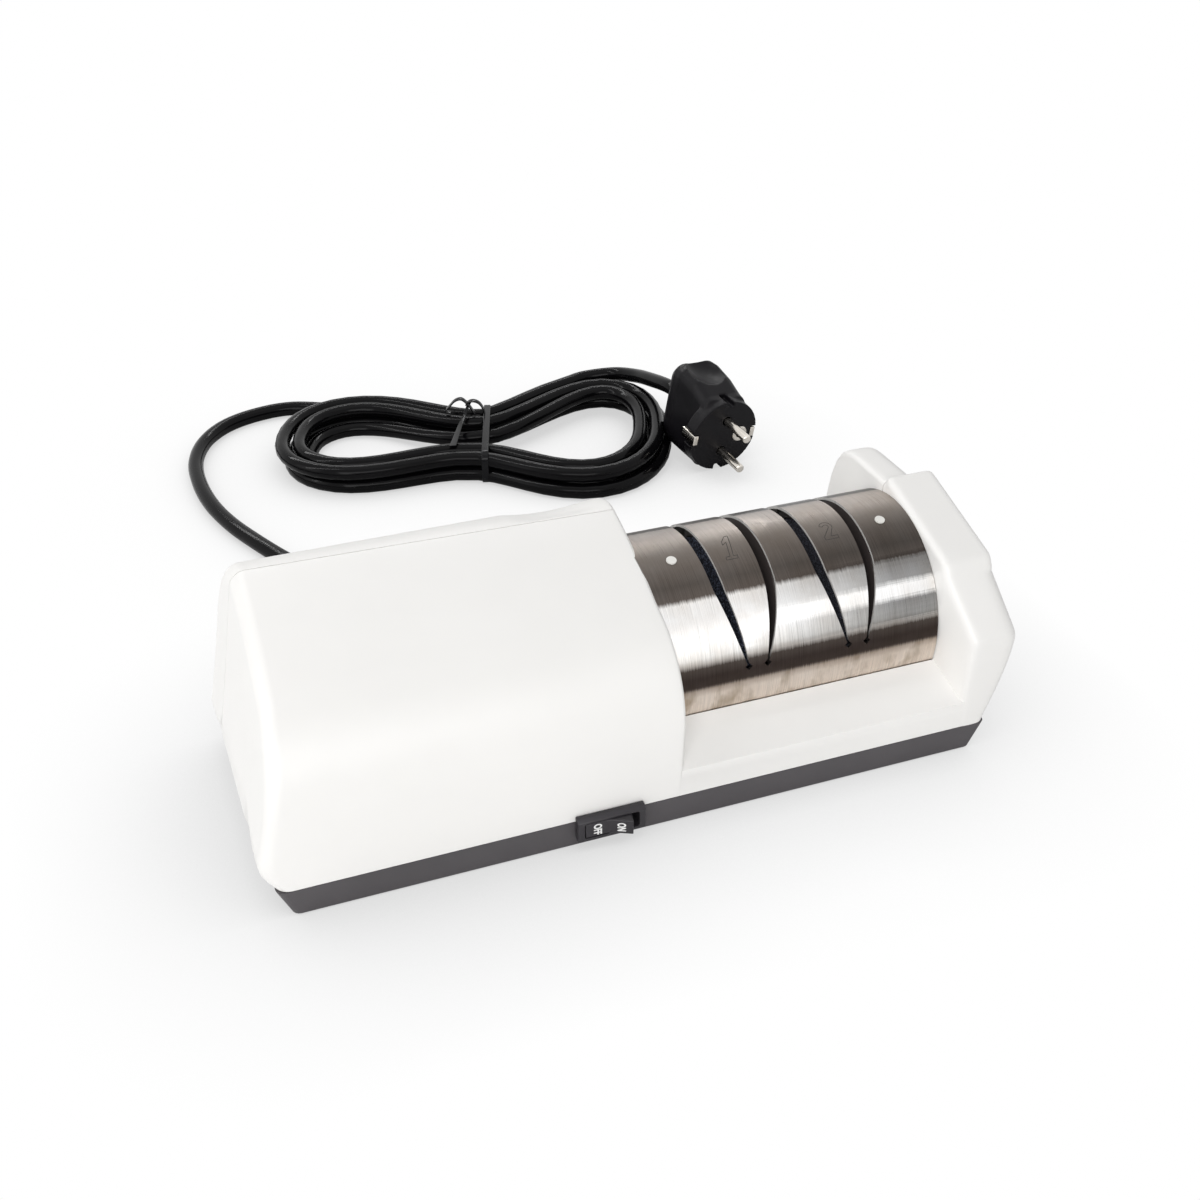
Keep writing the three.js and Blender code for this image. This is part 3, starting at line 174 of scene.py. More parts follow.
# Words on the rocker: middle along it, and stretch across it
WORDS = {"OFF": (-4.6, 0.95), "ON": (4.6, 0.82)}
WORD_SIZE = 3.1
WORD_STRETCH = 1.4
WORD_DROP = 0.4
WORD_BOLD = 0.1
WORD_THICKNESS = 0.12
WORD_SINK = 0.02

# Cord, in the frame of the whole part
CORD_DIAMETER = 8.4
CORD_SPACING = 4
# X and Z of the strain relief, and two places on the cord's straight start in it
GLAND = (-75.5, 24)
CORD_START_Y = (70.95, 99.6)
LEAD_POINTS = [
    (-75.5, 113.75, 24), (-76.5, 127.75, 21.5), (-81, 144.75, 15.5), (-87, 161.75, 9.5),
    (-94.5, 179.75, 5.4), (-103, 197.75, 4.3), (-112.5, 218.75, 4.3), (-121.5, 241.75, 4.3),
    (-128, 267.75, 4.3), (-130.5, 295.75, 4.3), (-128.5, 322.75, 4.3), (-119.5, 346.75, 4.3),
    (-104.5, 363.75, 4.3), (-84.5, 372.75, 4.3), (-63.5, 373.75, 4.3),
]
TAIL_POINTS = [(128, 330.75, 15), (136, 313.75, 19.5), (138.5, 295.75, 24)]
HANK_TURNS = 2
HANK_PITCH = 9.6
HANK_LIFT = 9
HANK_BOTTOM = 4.3
HANK_MIDDLE = (27.5, 288.75)
HANK_TURNED = -22.4
HANK_HALF = 92
HANK_LOBES = (42, 69)
HANK_SHIFTS = (-13, 8.5)
HANK_WAIST = 8.5
HANK_ROUNDNESS = 0.78
HANK_CLIMB = 0.24
HANK_SPREAD = 0.12
HANK_START = 128
HANK_END = 56
HANK_STEPS = 60

# Strain relief: radius and depth of the points of its flange, its rings and its tip
GLAND_FLANGE = [(4.3, 59.6), (8.6, 60.35), (8.6, 62.6), (7.9, 63.35), (6.5, 63.4)]
GLAND_TIP = [(5.3, 94.6), (4.9, 95.35), (4.3, 95.35)]
GLAND_RINGS = [66 + 4 * i for i in range(7)]
GLAND_RADIUS = 6.4
GLAND_TAPER = 1.05 / 32
GLAND_TAPER_Y = 63
GLAND_GROOVE = 0.75

# Tie round the hank's waist
TIE_X = 5.9
TIE_LEAN = 0.072
TIE_REACH = (-43.6, 24.6)
TIE_WIDTH = 3.9
TIE_THICKNESS = 1.0
TIE_CLEARANCE = 0.9
TIE_CORNER = 0.6
TIE_END_THICKNESS = 0.7
# Its ends: width, direction of the width, share of the width at the start, and the line
TIE_ENDS = {
    "tie_ear_left": (3.4, (0.35, 0.94, 0.1), 1, [
        (29.5, 298.4, 18.6), (26.2, 299.2, 24.2), (22.8, 301.5, 27.4), (19.6, 303.2, 26.4),
        (16.7, 304.6, 23.0), (14.3, 305.6, 19.4), (16.5, 304.2, 18.3)]),
    "tie_ear_right": (3.4, (0.35, 0.94, 0.1), 1, [
        (25.6, 302.2, 23.4), (27.4, 300.6, 25.6), (29.8, 299.0, 26.2), (32.3, 298.0, 24.9),
        (34.2, 297.2, 21.8), (35.0, 296.2, 18.4)]),
    "tie_tail": (TIE_WIDTH, (0.9, -0.42, 0.12), 0.42, [
        (27.4, 300.6, 24.6), (25.6, 298.6, 23.6), (22.9, 294.6, 21.2), (17.9, 286.6, 19.6),
        (11.6, 273.6, 19.2), (5.4, 260.4, 19.2)]),
}

# Plug: where it lies and how it is turned, then its parts with its face as Y 0
PLUG_PLACE = (149.9, 214.75)
PLUG_TURNED = 9
PLUG_NOSE = 8
PLUG_ROLL = 95
PLUG_RADIUS = 21.5
PLUG_RIM = 8.5
PLUG_BACK = 47
COLLAR_RADIUS = 7
COLLAR_START = 12
# Sections of the grip: y, half width, half height and shift
GRIP_SECTIONS = (
    (5, 21, 14, 0), (9, 21, 14, -0.5), (20, 23, 14, -2), (33, 24, 14, -2.6), (39, 23.5, 13.5, -2.6),
    (43, 20, 11.5, -2.4), (44.5, 15, 8, -2),
)
GRIP_ROUNDING = 6
HOLLOW_HALVES = (4.4, 14.5, 10.4)
HOLLOW_PLACE = (24.8, 27)
HOLLOW_SHIFT = -2
PIN_X = 9.5
PIN_PROFILE = [(0, -20.6), (2.4, 5.6), (0, 5.6)]
PIN_TIP = (1.4, -19.6)
SEAT_RADIUS = 2.7
SOCKET_Z = 10.5
SOCKET_RADIUS = 2.6
RING_PROFILE = [(2.4, 3), (2.4, -0.35), (2.7, -0.6), (4.3, -0.6), (4.6, -0.3), (4.6, 3)]
# Cuts in the rim: grooves at its sides, and channels with the earth clips above and below
GROOVE_REACH, GROOVE_HALF = (18.2, 24), 2.4
CHANNEL_REACH, CHANNEL_HALF, CHANNEL_FRONT_HALF = (17.4, 24), 4.4, 3.3
CLIP_HALF = 2.9
CLIP_Y = (-0.45, 12)
CLIP_REACH = (17.6, 20.6)

# Light: strengths of the world and of the floor's shadow, and the reach of that shadow
WORLD_LIGHT = 0.45
FLOOR_TONE = 0.92
FLOOR_SHADOW = 0.62
FLOOR_SHADOW_REACH = 90
FLOOR_HALF = 6000
# Lamps: place, aim, size in metres and watts
LAMPS = {
    "key": ((-420, -1150, 620), (0, 0, 50), (1.3, 0.8), 10.4),
    "left": ((-1300, 150, 520), (-60, 60, 50), (0.9, 0.7), 1.6),
    "top": ((100, 200, 1400), (20, 40, 40), (1.4, 0.9), 1.6),
    "strip_rear": ((-50, 1250, 900), (20, 280, 10), (1.6, 0.05), 5),
    "strip_left": ((-900, 250, 1000), (0, 280, 10), (0.05, 1.3), 4.5),
}


# Meshes

def link(obj):
    bpy.context.scene.collection.objects.link(obj)
    return obj


def new_object(name, data):
    return link(bpy.data.objects.new(name, data))


def adjust(thing, **settings):
    for key, value in settings.items():
        setattr(thing, key, value)
    return thing


def mesh_object(name, places, faces, clean=False):
    mesh = bpy.data.meshes.new(name)
    mesh.from_pydata([Vector(p) * MM for p in places], [], faces)
    work = bmesh.new()
    work.from_mesh(mesh)
    bmesh.ops.remove_doubles(work, verts=work.verts, dist=1e-7)
    if clean:
        bmesh.ops.dissolve_degenerate(work, dist=1e-7, edges=work.edges)
    bmesh.ops.recalc_face_normals(work, faces=work.faces)
    work.to_mesh(mesh)
    work.free()
    return new_object(name, mesh)


def loft(name, rings):
    size = len(rings[0])
    places = [p for ring in rings for p in ring]
    faces = []
    for s in range(len(rings) - 1):
        for i in range(size):
            a, b = s * size + i, s * size + (i + 1) % size
            faces.append((a, b, b + size, a + size))
    last = (len(rings) - 1) * size
    faces.append(tuple(range(size))[::-1])
    faces.append(tuple(last + i for i in range(size)))
    return mesh_object(name, places, faces)


def prism_x(name, outline, start, end):
    return loft(name, [[(x, y, z) for y, z in outline] for x in (start, end)])


def prism_y(name, outline, start, end):
    return loft(name, [[(x, y, z) for x, z in outline] for y in (start, end)])


def prism_z(name, outline, start, end):
    return loft(name, [[(x, y, z) for x, y in outline] for z in (start, end)])


def box(name, x0, x1, y0, y1, z0, z1):
    return prism_z(name, [(x0, y0), (x1, y0), (x1, y1), (x0, y1)], z0, z1)


def evaluated_mesh(obj):
    return bpy.data.meshes.new_from_object(obj.evaluated_get(bpy.context.evaluated_depsgraph_get()))


def settle(obj):
    """Takes the modifiers' result as the object's own mesh."""
    mesh = evaluated_mesh(obj)
    obj.modifiers.clear()
    obj.data = mesh
    return obj


def modify(obj, kind, **settings):
    adjust(obj.modifiers.new(kind.lower(), kind), **settings)


def combine(obj, operation, *others):
    for other in others:
        modify(obj, "BOOLEAN", operation=operation, solver="EXACT", object=other)
    settle(obj)
    for other in others:
        bpy.data.objects.remove(other)
    return obj


def cut(obj, *others):
    return combine(obj, "DIFFERENCE", *others)


def soften(obj, voxel, passes, keep=1.0, growth=0.0):
    """Rounds every edge of a solid, as moulding does."""
    modify(obj, "REMESH", mode="VOXEL", voxel_size=voxel * MM)
    modify(obj, "SMOOTH", factor=0.5, iterations=passes)
    if growth:
        modify(obj, "DISPLACE", strength=growth * MM, mid_level=0)
    if keep < 1:
        modify(obj, "DECIMATE", ratio=keep)
    return settle(obj)


def bevel(obj, width, segments=3, angle=30):
    modify(obj, "BEVEL", width=width * MM, segments=segments, limit_method="ANGLE",
           angle_limit=radians(angle))
    return settle(obj)


def arc(centre, radius, start, end, steps):
    angles = [radians(start + (end - start) * i / steps) for i in range(steps + 1)]
    return [(centre[0] + radius * cos(a), centre[1] + radius * sin(a)) for a in angles]


def around(middle, half):
    return middle - half, middle + half


def on_side(side, reach):
    """A pair of distances on one side of the middle, 1 or -1, in rising order."""
    return sorted(side * distance for distance in reach)


def circle(centre, radius, steps):
    return arc(centre, radius, 0, 360 - 360 / steps, steps - 1)


def rounded(half_a, half_b, radius, steps=5):
    a, b = half_a - radius, half_b - radius
    points = []
    for i, (sx, sy) in enumerate(((1, 1), (-1, 1), (-1, -1), (1, -1))):
        points += arc((a * sx, b * sy), radius, 90 * i, 90 * i + 90, steps)
    return points


def disc(name, radius, start, end, x=0.0, z=0.0):
    return prism_y(name, circle((x, z), radius, 72), start, end)


def lathe_y(name, profile, x, z, steps=36, closed=False):
    """A piece turned about a line along Y: the profile is (radius, y) pairs."""
    size = len(profile)
    places, faces = [], []
    for i in range(steps):
        a = 2 * pi * i / steps
        places += [(x + r * cos(a), y, z + r * sin(a)) for r, y in profile]
        k = (i + 1) % steps
        for j in range(size if closed else size - 1):
            n = (j + 1) % size
            faces.append((i * size + j, i * size + n, k * size + n, k * size + j))
    return mesh_object(name, places, faces, clean=True)


def ellipsoid(name, halves, middle):
    mesh = bpy.data.meshes.new(name)
    work = bmesh.new()
    bmesh.ops.create_uvsphere(work, u_segments=40, v_segments=24, radius=MM)
    bmesh.ops.scale(work, verts=work.verts, vec=halves)
    bmesh.ops.translate(work, verts=work.verts, vec=Vector(middle) * MM)
    work.to_mesh(mesh)
    work.free()
    return new_object(name, mesh)


def tube_curve(name, line, radius, resolution):
    curve = adjust(bpy.data.curves.new(name, "CURVE"), dimensions="3D", bevel_depth=radius * MM,
                   bevel_resolution=resolution)
    spline = curve.splines.new("POLY")
    spline.points.add(len(line) - 1)
    for point, place in zip(spline.points, line):
        point.co = (*(Vector(place) * MM), 1)
    return curve, spline


def bent_mesh(curve, place_at):
    """A curve or a text as a mesh object of the same name, with every point moved."""
    drawn = new_object(curve.name, curve)
    bpy.context.view_layer.update()
    mesh = evaluated_mesh(drawn)
    bpy.data.objects.remove(drawn)
    for vertex in mesh.vertices:
        vertex.co = Vector(place_at(*(vertex.co / MM))) * MM
    return new_object(curve.name, mesh)


def inset_outline(points, distance):
    """Moves every edge of a convex outline inwards."""
    corners = [Vector(point) for point in points]
    sides = list(zip(corners, corners[1:] + corners[:1]))
    turn = 1 if sum(a.cross(b) for a, b in sides) > 0 else -1
    edges = []
    for corner, after in sides:
        along = (after - corner).normalized()
        edges.append((corner + Vector((-along.y, along.x)) * turn * distance, along))
    moved = []
    for i, (start, along) in enumerate(edges):
        before, before_along = edges[i - 1]
        cross = before_along.cross(along)
        if abs(cross) < 1e-6:
            moved.append((start.x, start.y))
            continue
        reach = (start - before).cross(along) / cross
        place = before + before_along * reach
        moved.append((place.x, place.y))
    return moved


# Materials

def fill(tree, made, inputs):
    """Sets inputs of a node: a socket is linked, anything else is the input's own value."""
    for key, value in inputs.items():
        if isinstance(value, bpy.types.NodeSocket):
            tree.links.new(value, made.inputs[key])
        else:
            made.inputs[key].default_value = value


def node(tree, kind, inputs=None, **settings):
    """Adds a node and gives its outputs."""
    made = adjust(tree.nodes.new("ShaderNode" + kind), **settings)
    fill(tree, made, inputs or {})
    return made.outputs


def math_node(tree, operation, *values):
    return node(tree, "Math", dict(enumerate(values)), operation=operation)[0]


def new_material(name):
    material = bpy.data.materials.new(name)
    material.use_nodes = True
    tree = material.node_tree
    return material, tree, tree.nodes["Principled BSDF"], node(tree, "TexCoord")["Object"]


def noise(tree, vector, scale, detail=3.0, rough=0.5):
    inputs = {"Vector": vector, "Scale": scale, "Detail": detail, "Roughness": rough}
    return node(tree, "TexNoise", inputs)["Fac"]


def full(colour):
    """A colour with its alpha; a single number is a grey."""
    return (*colour, 1) if isinstance(colour, tuple) else (colour, colour, colour, 1)


def ramp(tree, value, stops):
    made = tree.nodes.new("ShaderNodeValToRGB")
    fill(tree, made, {"Fac": value})
    elements = made.color_ramp.elements
    for element, (position, colour) in zip(elements, (stops[0], stops[-1])):
        element.position = position
        element.color = full(colour)
    for position, colour in stops[1:-1]:
        elements.new(position).color = full(colour)
    return made.outputs["Color"]


def darker(colour, share):
    return tuple(c * share for c in colour)


def spread(tree, value, low, high, from_low=0.3, from_high=0.7):
    return node(tree, "MapRange", {
        "Value": value, "From Min": from_low, "From Max": from_high, "To Min": low, "To Max": high,
    })["Result"]


def bump(tree, height, strength, distance, normal=None):
    inputs = {"Height": height, "Strength": strength, "Distance": distance * MM}
    if normal is not None:
        inputs["Normal"] = normal
    return node(tree, "Bump", inputs)["Normal"]


def moulded(name, colour, roughness, grain=0.5, depth=0.02, mottle=0.04, uneven=0.05, specular=0.5):
    """Moulded plastic or rubber: fine grain, slight clouds of colour and of gloss."""
    material, tree, shader, place = new_material(name)
    fine = noise(tree, place, 1 / (grain * MM), 2)
    clouds, gloss = noise(tree, place, 28, 3), noise(tree, place, 90, 3)
    fill(tree, shader, {
        "Base Color": ramp(tree, clouds, [(0.3, darker(colour, 1 - mottle)), (0.7, colour)]),
        "Roughness": spread(tree, gloss, roughness - uneven, roughness + uneven),
        "Normal": bump(tree, fine, 0.35, depth),
        "Specular IOR Level": specular,
    })
    return material


def turned_metal(name, colour, roughness, axis=0, grain=0.25, metallic=1.0, mottle=0.2):
    """Turned or drawn metal: fine rings about one axis."""
    material, tree, shader, place = new_material(name)
    scales = [4.0, 4.0, 4.0]
    scales[axis] = 1 / (grain * MM)
    stretched = node(tree, "Mapping", {"Vector": place, "Scale": scales})["Vector"]
    lines, clouds = noise(tree, stretched, 1, 3), noise(tree, place, 60, 4)
    fill(tree, shader, {
        "Base Color": ramp(tree, clouds, [(0.35, darker(colour, 1 - mottle)), (0.65, colour)]),
        "Roughness": spread(tree, lines, roughness - 0.07, roughness + 0.07),
        "Normal": bump(tree, lines, 0.25, 0.015),
        "Metallic": metallic,
    })
    return material


def gritty(name, colour, speck, grain):
    """Bonded abrasive: packed grains of uneven colour."""
    material, tree, shader, place = new_material(name)
    cells = node(tree, "TexVoronoi", {"Vector": place, "Scale": 1 / (grain * MM)})
    tone = node(tree, "SeparateColor", {"Color": cells["Color"]})["Red"]
    height = math_node(tree, "SUBTRACT", 1.0, cells["Distance"])
    fill(tree, shader, {
        "Base Color": ramp(tree, tone, [(0.0, darker(colour, 0.4)), (0.62, colour), (0.97, speck)]),
        "Roughness": 0.85,
        "Normal": bump(tree, height, 0.9, grain * 0.5),
    })
    return material


# Painted reflections on the guide, as bands of colour: angle up the arch, from the horizontal at the
# front, and the colour there
BAND_SPAN = (-20, 200)
BAND_WANDER = 3.2
PAINTED_REFLECTION_BANDS = [
    (-17, (0.62, 0.53, 0.46)), (-12, (0.8, 0.71, 0.63)), (-3, (0.78, 0.69, 0.61)),
    (0.8, (0.5, 0.42, 0.36)), (2.6, (0.06, 0.046, 0.04)), (8, (0.048, 0.036, 0.032)),
    (13.6, (0.085, 0.07, 0.062)), (16.2, (0.55, 0.52, 0.49)), (19, (0.86, 0.85, 0.83)),
    (27, (0.89, 0.885, 0.88)), (41, (0.9, 0.895, 0.89)), (48, (0.86, 0.845, 0.83)),
    (50.2, (0.115, 0.098, 0.088)), (58, (0.082, 0.072, 0.065)), (68, (0.115, 0.1, 0.09)),
    (80, (0.19, 0.168, 0.15)), (90, (0.3, 0.27, 0.245)), (101, (0.36, 0.325, 0.3)),
    (107.5, (0.34, 0.31, 0.29)), (109.5, (0.035, 0.03, 0.028)), (118, (0.1, 0.09, 0.08)),
    (130, (0.6, 0.58, 0.55)), (160, (0.82, 0.8, 0.78)), (178, (0.2, 0.18, 0.165)),
    (197, (0.55, 0.51, 0.47)),
]
# Where the painted reflection bands break into darker patches towards the guide's right end: X in
# metres, and share of the angle and how much
REFLECTION_BREAK_XS = (0.045, 0.11)
REFLECTION_BREAK_SPAN = 60
REFLECTION_BREAK_BANDS = [
    (0.3, 0.0), (0.34, 0.75), (0.5, 0.9), (0.55, 0.03), (0.64, 0.02),
    (0.69, 0.85), (0.86, 0.95), (0.93, 0.3),
]
CUT_STEEL = (0.66, 0.645, 0.62)


def brushed_steel(name):
    """Stainless sheet with its grain round the arch, with scratches and bands of painted reflection."""
    material, tree, shader, place = new_material(name)
    plus = lambda a, b: math_node(tree, "ADD", a, b)
    minus = lambda a, b: math_node(tree, "SUBTRACT", a, b)
    times = lambda a, b: math_node(tree, "MULTIPLY", a, b)
    absolute = lambda a: math_node(tree, "ABSOLUTE", a)
    unrolled = lambda x, y: node(tree, "CombineXYZ", {"X": x, "Y": y})["Vector"]
    separate = lambda vector: node(tree, "SeparateXYZ", {"Vector": vector})
    axes = separate(place)
    x, y, z = axes["X"], axes["Y"], axes["Z"]
    across, above = minus(SPINDLE_Y * MM, y), minus(z, SPINDLE_Z * MM)
    angle = math_node(tree, "DEGREES", math_node(tree, "ARCTAN2", above, across))
    grain_place = unrolled(x, times(angle, 1e-4))

    def streaks(fineness, length, detail):
        scale = node(tree, "Mapping", {"Vector": grain_place, "Scale": (fineness, length, 1)})
        return noise(tree, scale["Vector"], 1, detail, 0.6)

    def mixed(factor, a, b, blend="MIX"):
        inputs = {"Factor": factor, 6: a, 7: b}
        return node(tree, "Mix", inputs, data_type="RGBA", blend_type=blend)[2]

    fine, middle, short = streaks(5200, 260, 2), streaks(1500, 120, 3), streaks(2600, 1400, 2)
    # The base colour is painted reflection: bands of light and dark by the angle up the arch, with wavy
    # edges
    wavy_angle = plus(angle, times(minus(middle, 0.5), BAND_WANDER))
    first, last = BAND_SPAN
    stops = [((a - first) / (last - first), tone) for a, tone in PAINTED_REFLECTION_BANDS]
    colour = ramp(tree, spread(tree, wavy_angle, 0, 1, *BAND_SPAN), stops)
    streaky = ramp(tree, fine, [(0.34, 0.8), (0.66, 1.12)])
    scratch = ramp(tree, short, [(0.7, 1.0), (0.76, 1.25)])
    clouds = ramp(tree, noise(tree, place, 55, 4, 0.6), [(0.35, (0.9, 0.875, 0.85)), (0.6, 1.0)])

    # Painted reflection: darker patches with ragged edges in the bright bands, stronger towards the
    # right end
    ragged = noise(tree, unrolled(times(x, 14), angle), 0.55, 4, 0.65)
    ragged_angle = plus(wavy_angle, times(ragged, 6))
    broken_share = ramp(tree, spread(tree, ragged_angle, 0, 1, 0, REFLECTION_BREAK_SPAN), REFLECTION_BREAK_BANDS)
    reflection_break = times(broken_share, spread(tree, x, 0, 1, *REFLECTION_BREAK_XS))
    reflection_breaks = ramp(tree, reflection_break, [(0.0, 1.0), (1.0, 0.2)])

    # Brown stains along the front foot
    stained = noise(tree, unrolled(x, times(angle, 4e-4)), 95, 3, 0.6)
    low_down = spread(tree, angle, 1, 0, 0, 8)
    stains = ramp(tree, times(spread(tree, stained, 0, 1, 0.5, 0.68), low_down),
                  [(0.0, 1.0), (1.0, (0.6, 0.56, 0.5))])

    # Painted reflection: the crest is darker at the left and brighter at the right
    near_crest = ramp(tree, spread(tree, angle, 0, 1, 70, 110),
                      [(0.0, 0.0), (0.5, 1.0), (0.9, 1.0), (1.0, 0.0)])
    brighter = minus(spread(tree, x, 0.8, 1.75, 0.03, 0.11), 1.0)
    crest = plus(times(near_crest, brighter), 1.0)
    for factor in (streaky, scratch, clouds, reflection_breaks, stains, crest):
        colour = mixed(1.0, colour, factor, "MULTIPLY")

    # Cut edges, which face along X, are bare and matt, but in the relief holes they keep the dark
    # painted band colour, painted shade for those holes
    facing = separate(node(tree, "NewGeometry")["Normal"])["X"]
    tip = 90 - SLOT_TIP_ANGLE
    away_from_tip = spread(tree, absolute(minus(angle, 90.0)), 1, 0.12, tip - 6, tip - 2)
    bare = times(spread(tree, absolute(facing), 0, 1, 0.5, 0.7), away_from_tip)
    fill(tree, shader, {
        "Base Color": mixed(bare, colour, full(CUT_STEEL)),
        "Roughness": spread(tree, fine, 0.27, 0.4),
        "Normal": bump(tree, short, 0.12, 0.02, bump(tree, fine, 0.22, 0.012)),
        "Metallic": minus(1.0, times(bare, 0.8)),
        "Anisotropic": 0.6,
    })
    return material


# Recipes, in the order of each maker's arguments; grains and depths are millimetres
PLASTICS = {
    "shell_white": ((0.885, 0.875, 0.855), 0.42, 0.7, 0.018, 0.02, 0.04),
    "base_grey": ((0.078, 0.072, 0.077), 0.55, 0.45, 0.06, 0.15, 0.06),
    "insert_plastic": ((0.052, 0.042, 0.04), 0.45, 0.5, 0.03, 0.2),
    "frame_nylon": ((0.8, 0.79, 0.75), 0.42, 0.6, 0.02),
    "cord_black": ((0.0032, 0.003, 0.0036), 0.16, 3.5, 0.002, 0.3, 0.03, 0.1),
    "plug_black": ((0.0062, 0.0056, 0.0072), 0.36, 0.35, 0.03, 0.25, 0.05, 0.14),
    "coupling_black": ((0.004, 0.004, 0.005), 0.18, 0.8, 0.01, 0.2, 0.03, 0.16),
    "switch_black": ((0.04, 0.037, 0.042), 0.38, 0.4, 0.03, 0.2, 0.05, 0.3),
    "letter_white": ((0.86, 0.86, 0.85), 0.5, 0.4, 0.02),
}
METALS = {
    "etched": ((0.035, 0.03, 0.027), 0.6, 0, 0.25, 0.3),
    "plug_nickel": ((0.74, 0.7, 0.64), 0.16, 1),
}
GRITS = {
    "grit_coarse": ((0.035, 0.04, 0.065), (0.2, 0.23, 0.33), 0.55),
    "grit_fine": ((0.045, 0.045, 0.06), (0.2, 0.21, 0.27), 0.3),
}
# A slot without a recipe is metal when its recorded colour is brighter than this
METAL_FROM = 0.25

finishes = {"guide_steel": brushed_steel("guide_steel")}
for maker, recipes in ((moulded, PLASTICS), (turned_metal, METALS), (gritty, GRITS)):
    finishes.update({name: maker(name, *recipe) for name, recipe in recipes.items()})
slots = {m["slot"]: m for m in frame["record"]["materials"]}
node_slot = {s["node"]: s["material_slot"] for s in frame["record"]["subparts"]}


def finish_of(slot):
    """The finish of a slot; one without a recipe gets turned metal or plastic by its record."""
    if slot not in finishes:
        entry = slots[slot]
        colour = tuple(entry["base_color"][:3])
        if "metal" in entry["class"] or "steel" in entry["class"] or max(colour) > METAL_FROM:
            finishes[slot] = turned_metal(slot, colour, 0.32)
        else:
            finishes[slot] = moulded(slot, colour, 0.6, 0.5, 0.05)
    return finishes[slot]


def paint(obj, finish):
    obj.data.materials.clear()
    obj.data.materials.append(finish)


def dress(obj, slot, body, finish=None):
    paint(obj, finish or finish_of(slot))
    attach(obj, body)


def finish_piece(obj, slot, *nodes, body="housing", angle=35, finish=None):
    obj.data.shade_smooth()
    obj.data.set_sharp_from_angle(angle=radians(angle))
    dress(obj, slot, body, finish)
    if nodes:
        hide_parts(*nodes)
    return obj


def machine_piece(obj, slot, *nodes, **settings):
    """A piece drawn with the spindle's line as its middle: it goes to its place in the part."""
    obj.data.transform(Matrix.Translation((0, SPINDLE_Y * MM, 0)))
    return finish_piece(obj, slot, *nodes, **settings)


# White shells

FLANK_HEIGHTS = (17, 20, 24, 28, 32, 37, 42)
REAR_HEIGHTS = (*FLANK_HEIGHTS, 48, 54, 60)
BLOCK_HEIGHTS = (20, 28, 36, 44, 50)
# Round the block's rear: share of the way out, and share of the way down
BLOCK_REAR = ((0.22, 0.025), (0.42, 0.1), (0.6, 0.24), (0.74, 0.42), (0.85, 0.66), (0.93, 0.95))
FRONT_FOOT, REAR_FOOT = (RIM_FRONT_Y, SHELL_BOTTOM_Z), (-RIM_FRONT_Y, SHELL_BOTTOM_Z)
# Shrunk outlines that close each end with even faces
END_RINGS = (0.92, 0.8, 0.66, 0.5, 0.34, 0.18, 0.06)


def flank(start, end, heights):
    """Points on a straight flank at the given heights."""
    inside = [h for h in heights if min(start[1], end[1]) < h < max(start[1], end[1])]
    inside.sort(reverse=start[1] > end[1])
    share = lambda h: (h - start[1]) / (end[1] - start[1])
    return [(start[0] + (end[0] - start[0]) * share(h), h) for h in inside]


def with_feet(upper, front_heights, rear_heights):
    """A body's outline from its upper part, with straight flanks down to the rim and below it."""
    return [
        (RIM_FRONT_Y, FAR_BELOW_Z), FRONT_FOOT, *flank(FRONT_FOOT, upper[0], front_heights), *upper,
        *flank(upper[-1], REAR_FOOT, rear_heights), REAR_FOOT, (-RIM_FRONT_Y, FAR_BELOW_Z),
    ]


def housing_outline(dip):
    shoulder_middle = (BODY_FRONT_Y + SHOULDER_RADIUS, SHOULDER_HEIGHT)
    shoulder = arc(shoulder_middle, SHOULDER_RADIUS, 180, 180 - SHOULDER_TURN, 30)
    rear = arc(REAR_ROUND, REAR_RADIUS, REAR_START, 0, 30)
    start, end = Vector(shoulder[-1]), Vector(rear[0])
    middle = (start + end) / 2 + Vector((0, 2 * ROOF_BOW))
    shares = [i / 12 for i in range(1, 12)]
    roof = [tuple(start * (1 - t) ** 2 + middle * 2 * t * (1 - t) + end * t * t) for t in shares]
    sink = lambda z, i: dip * (z - REAR_ROUND[1]) / REAR_RADIUS * min(max((i - 2) / 3, 0), 1)
    sunk = [(y, z - sink(z, i)) for i, (y, z) in enumerate(rear)]
    return with_feet([*shoulder, *roof, *sunk], FLANK_HEIGHTS, REAR_HEIGHTS)


def block_outline():
    drop, run = CHEEK_Z - CREASE_Z, -RIM_FRONT_Y - CHEEK_REAR_Y
    rear = [(CHEEK_REAR_Y + run * a, CHEEK_Z - drop * b) for a, b in BLOCK_REAR]
    front = [(BODY_FRONT_Y, CREASE_Z), FACET_TOP, (CHEEK_FRONT_Y, CHEEK_Z), (CHEEK_REAR_Y, CHEEK_Z)]
    return with_feet(front + rear, BLOCK_HEIGHTS, BLOCK_HEIGHTS)


def end_reach(z, end):
    """Half length of the body at a height."""
    if z <= SHELL_BOTTOM_Z:
        return end["rim"]
    if z <= end["wide_z"]:
        share = (z - SHELL_BOTTOM_Z) / (end["wide_z"] - SHELL_BOTTOM_Z)
        return end["rim"] + (HALF_LENGTH - end["rim"]) * sin(share * pi / 2)
    share = min((z - end["wide_z"]) / (end["top_z"] - end["wide_z"]), 1)
    return HALF_LENGTH + (end["top"] - HALF_LENGTH) * share ** end["bend"]


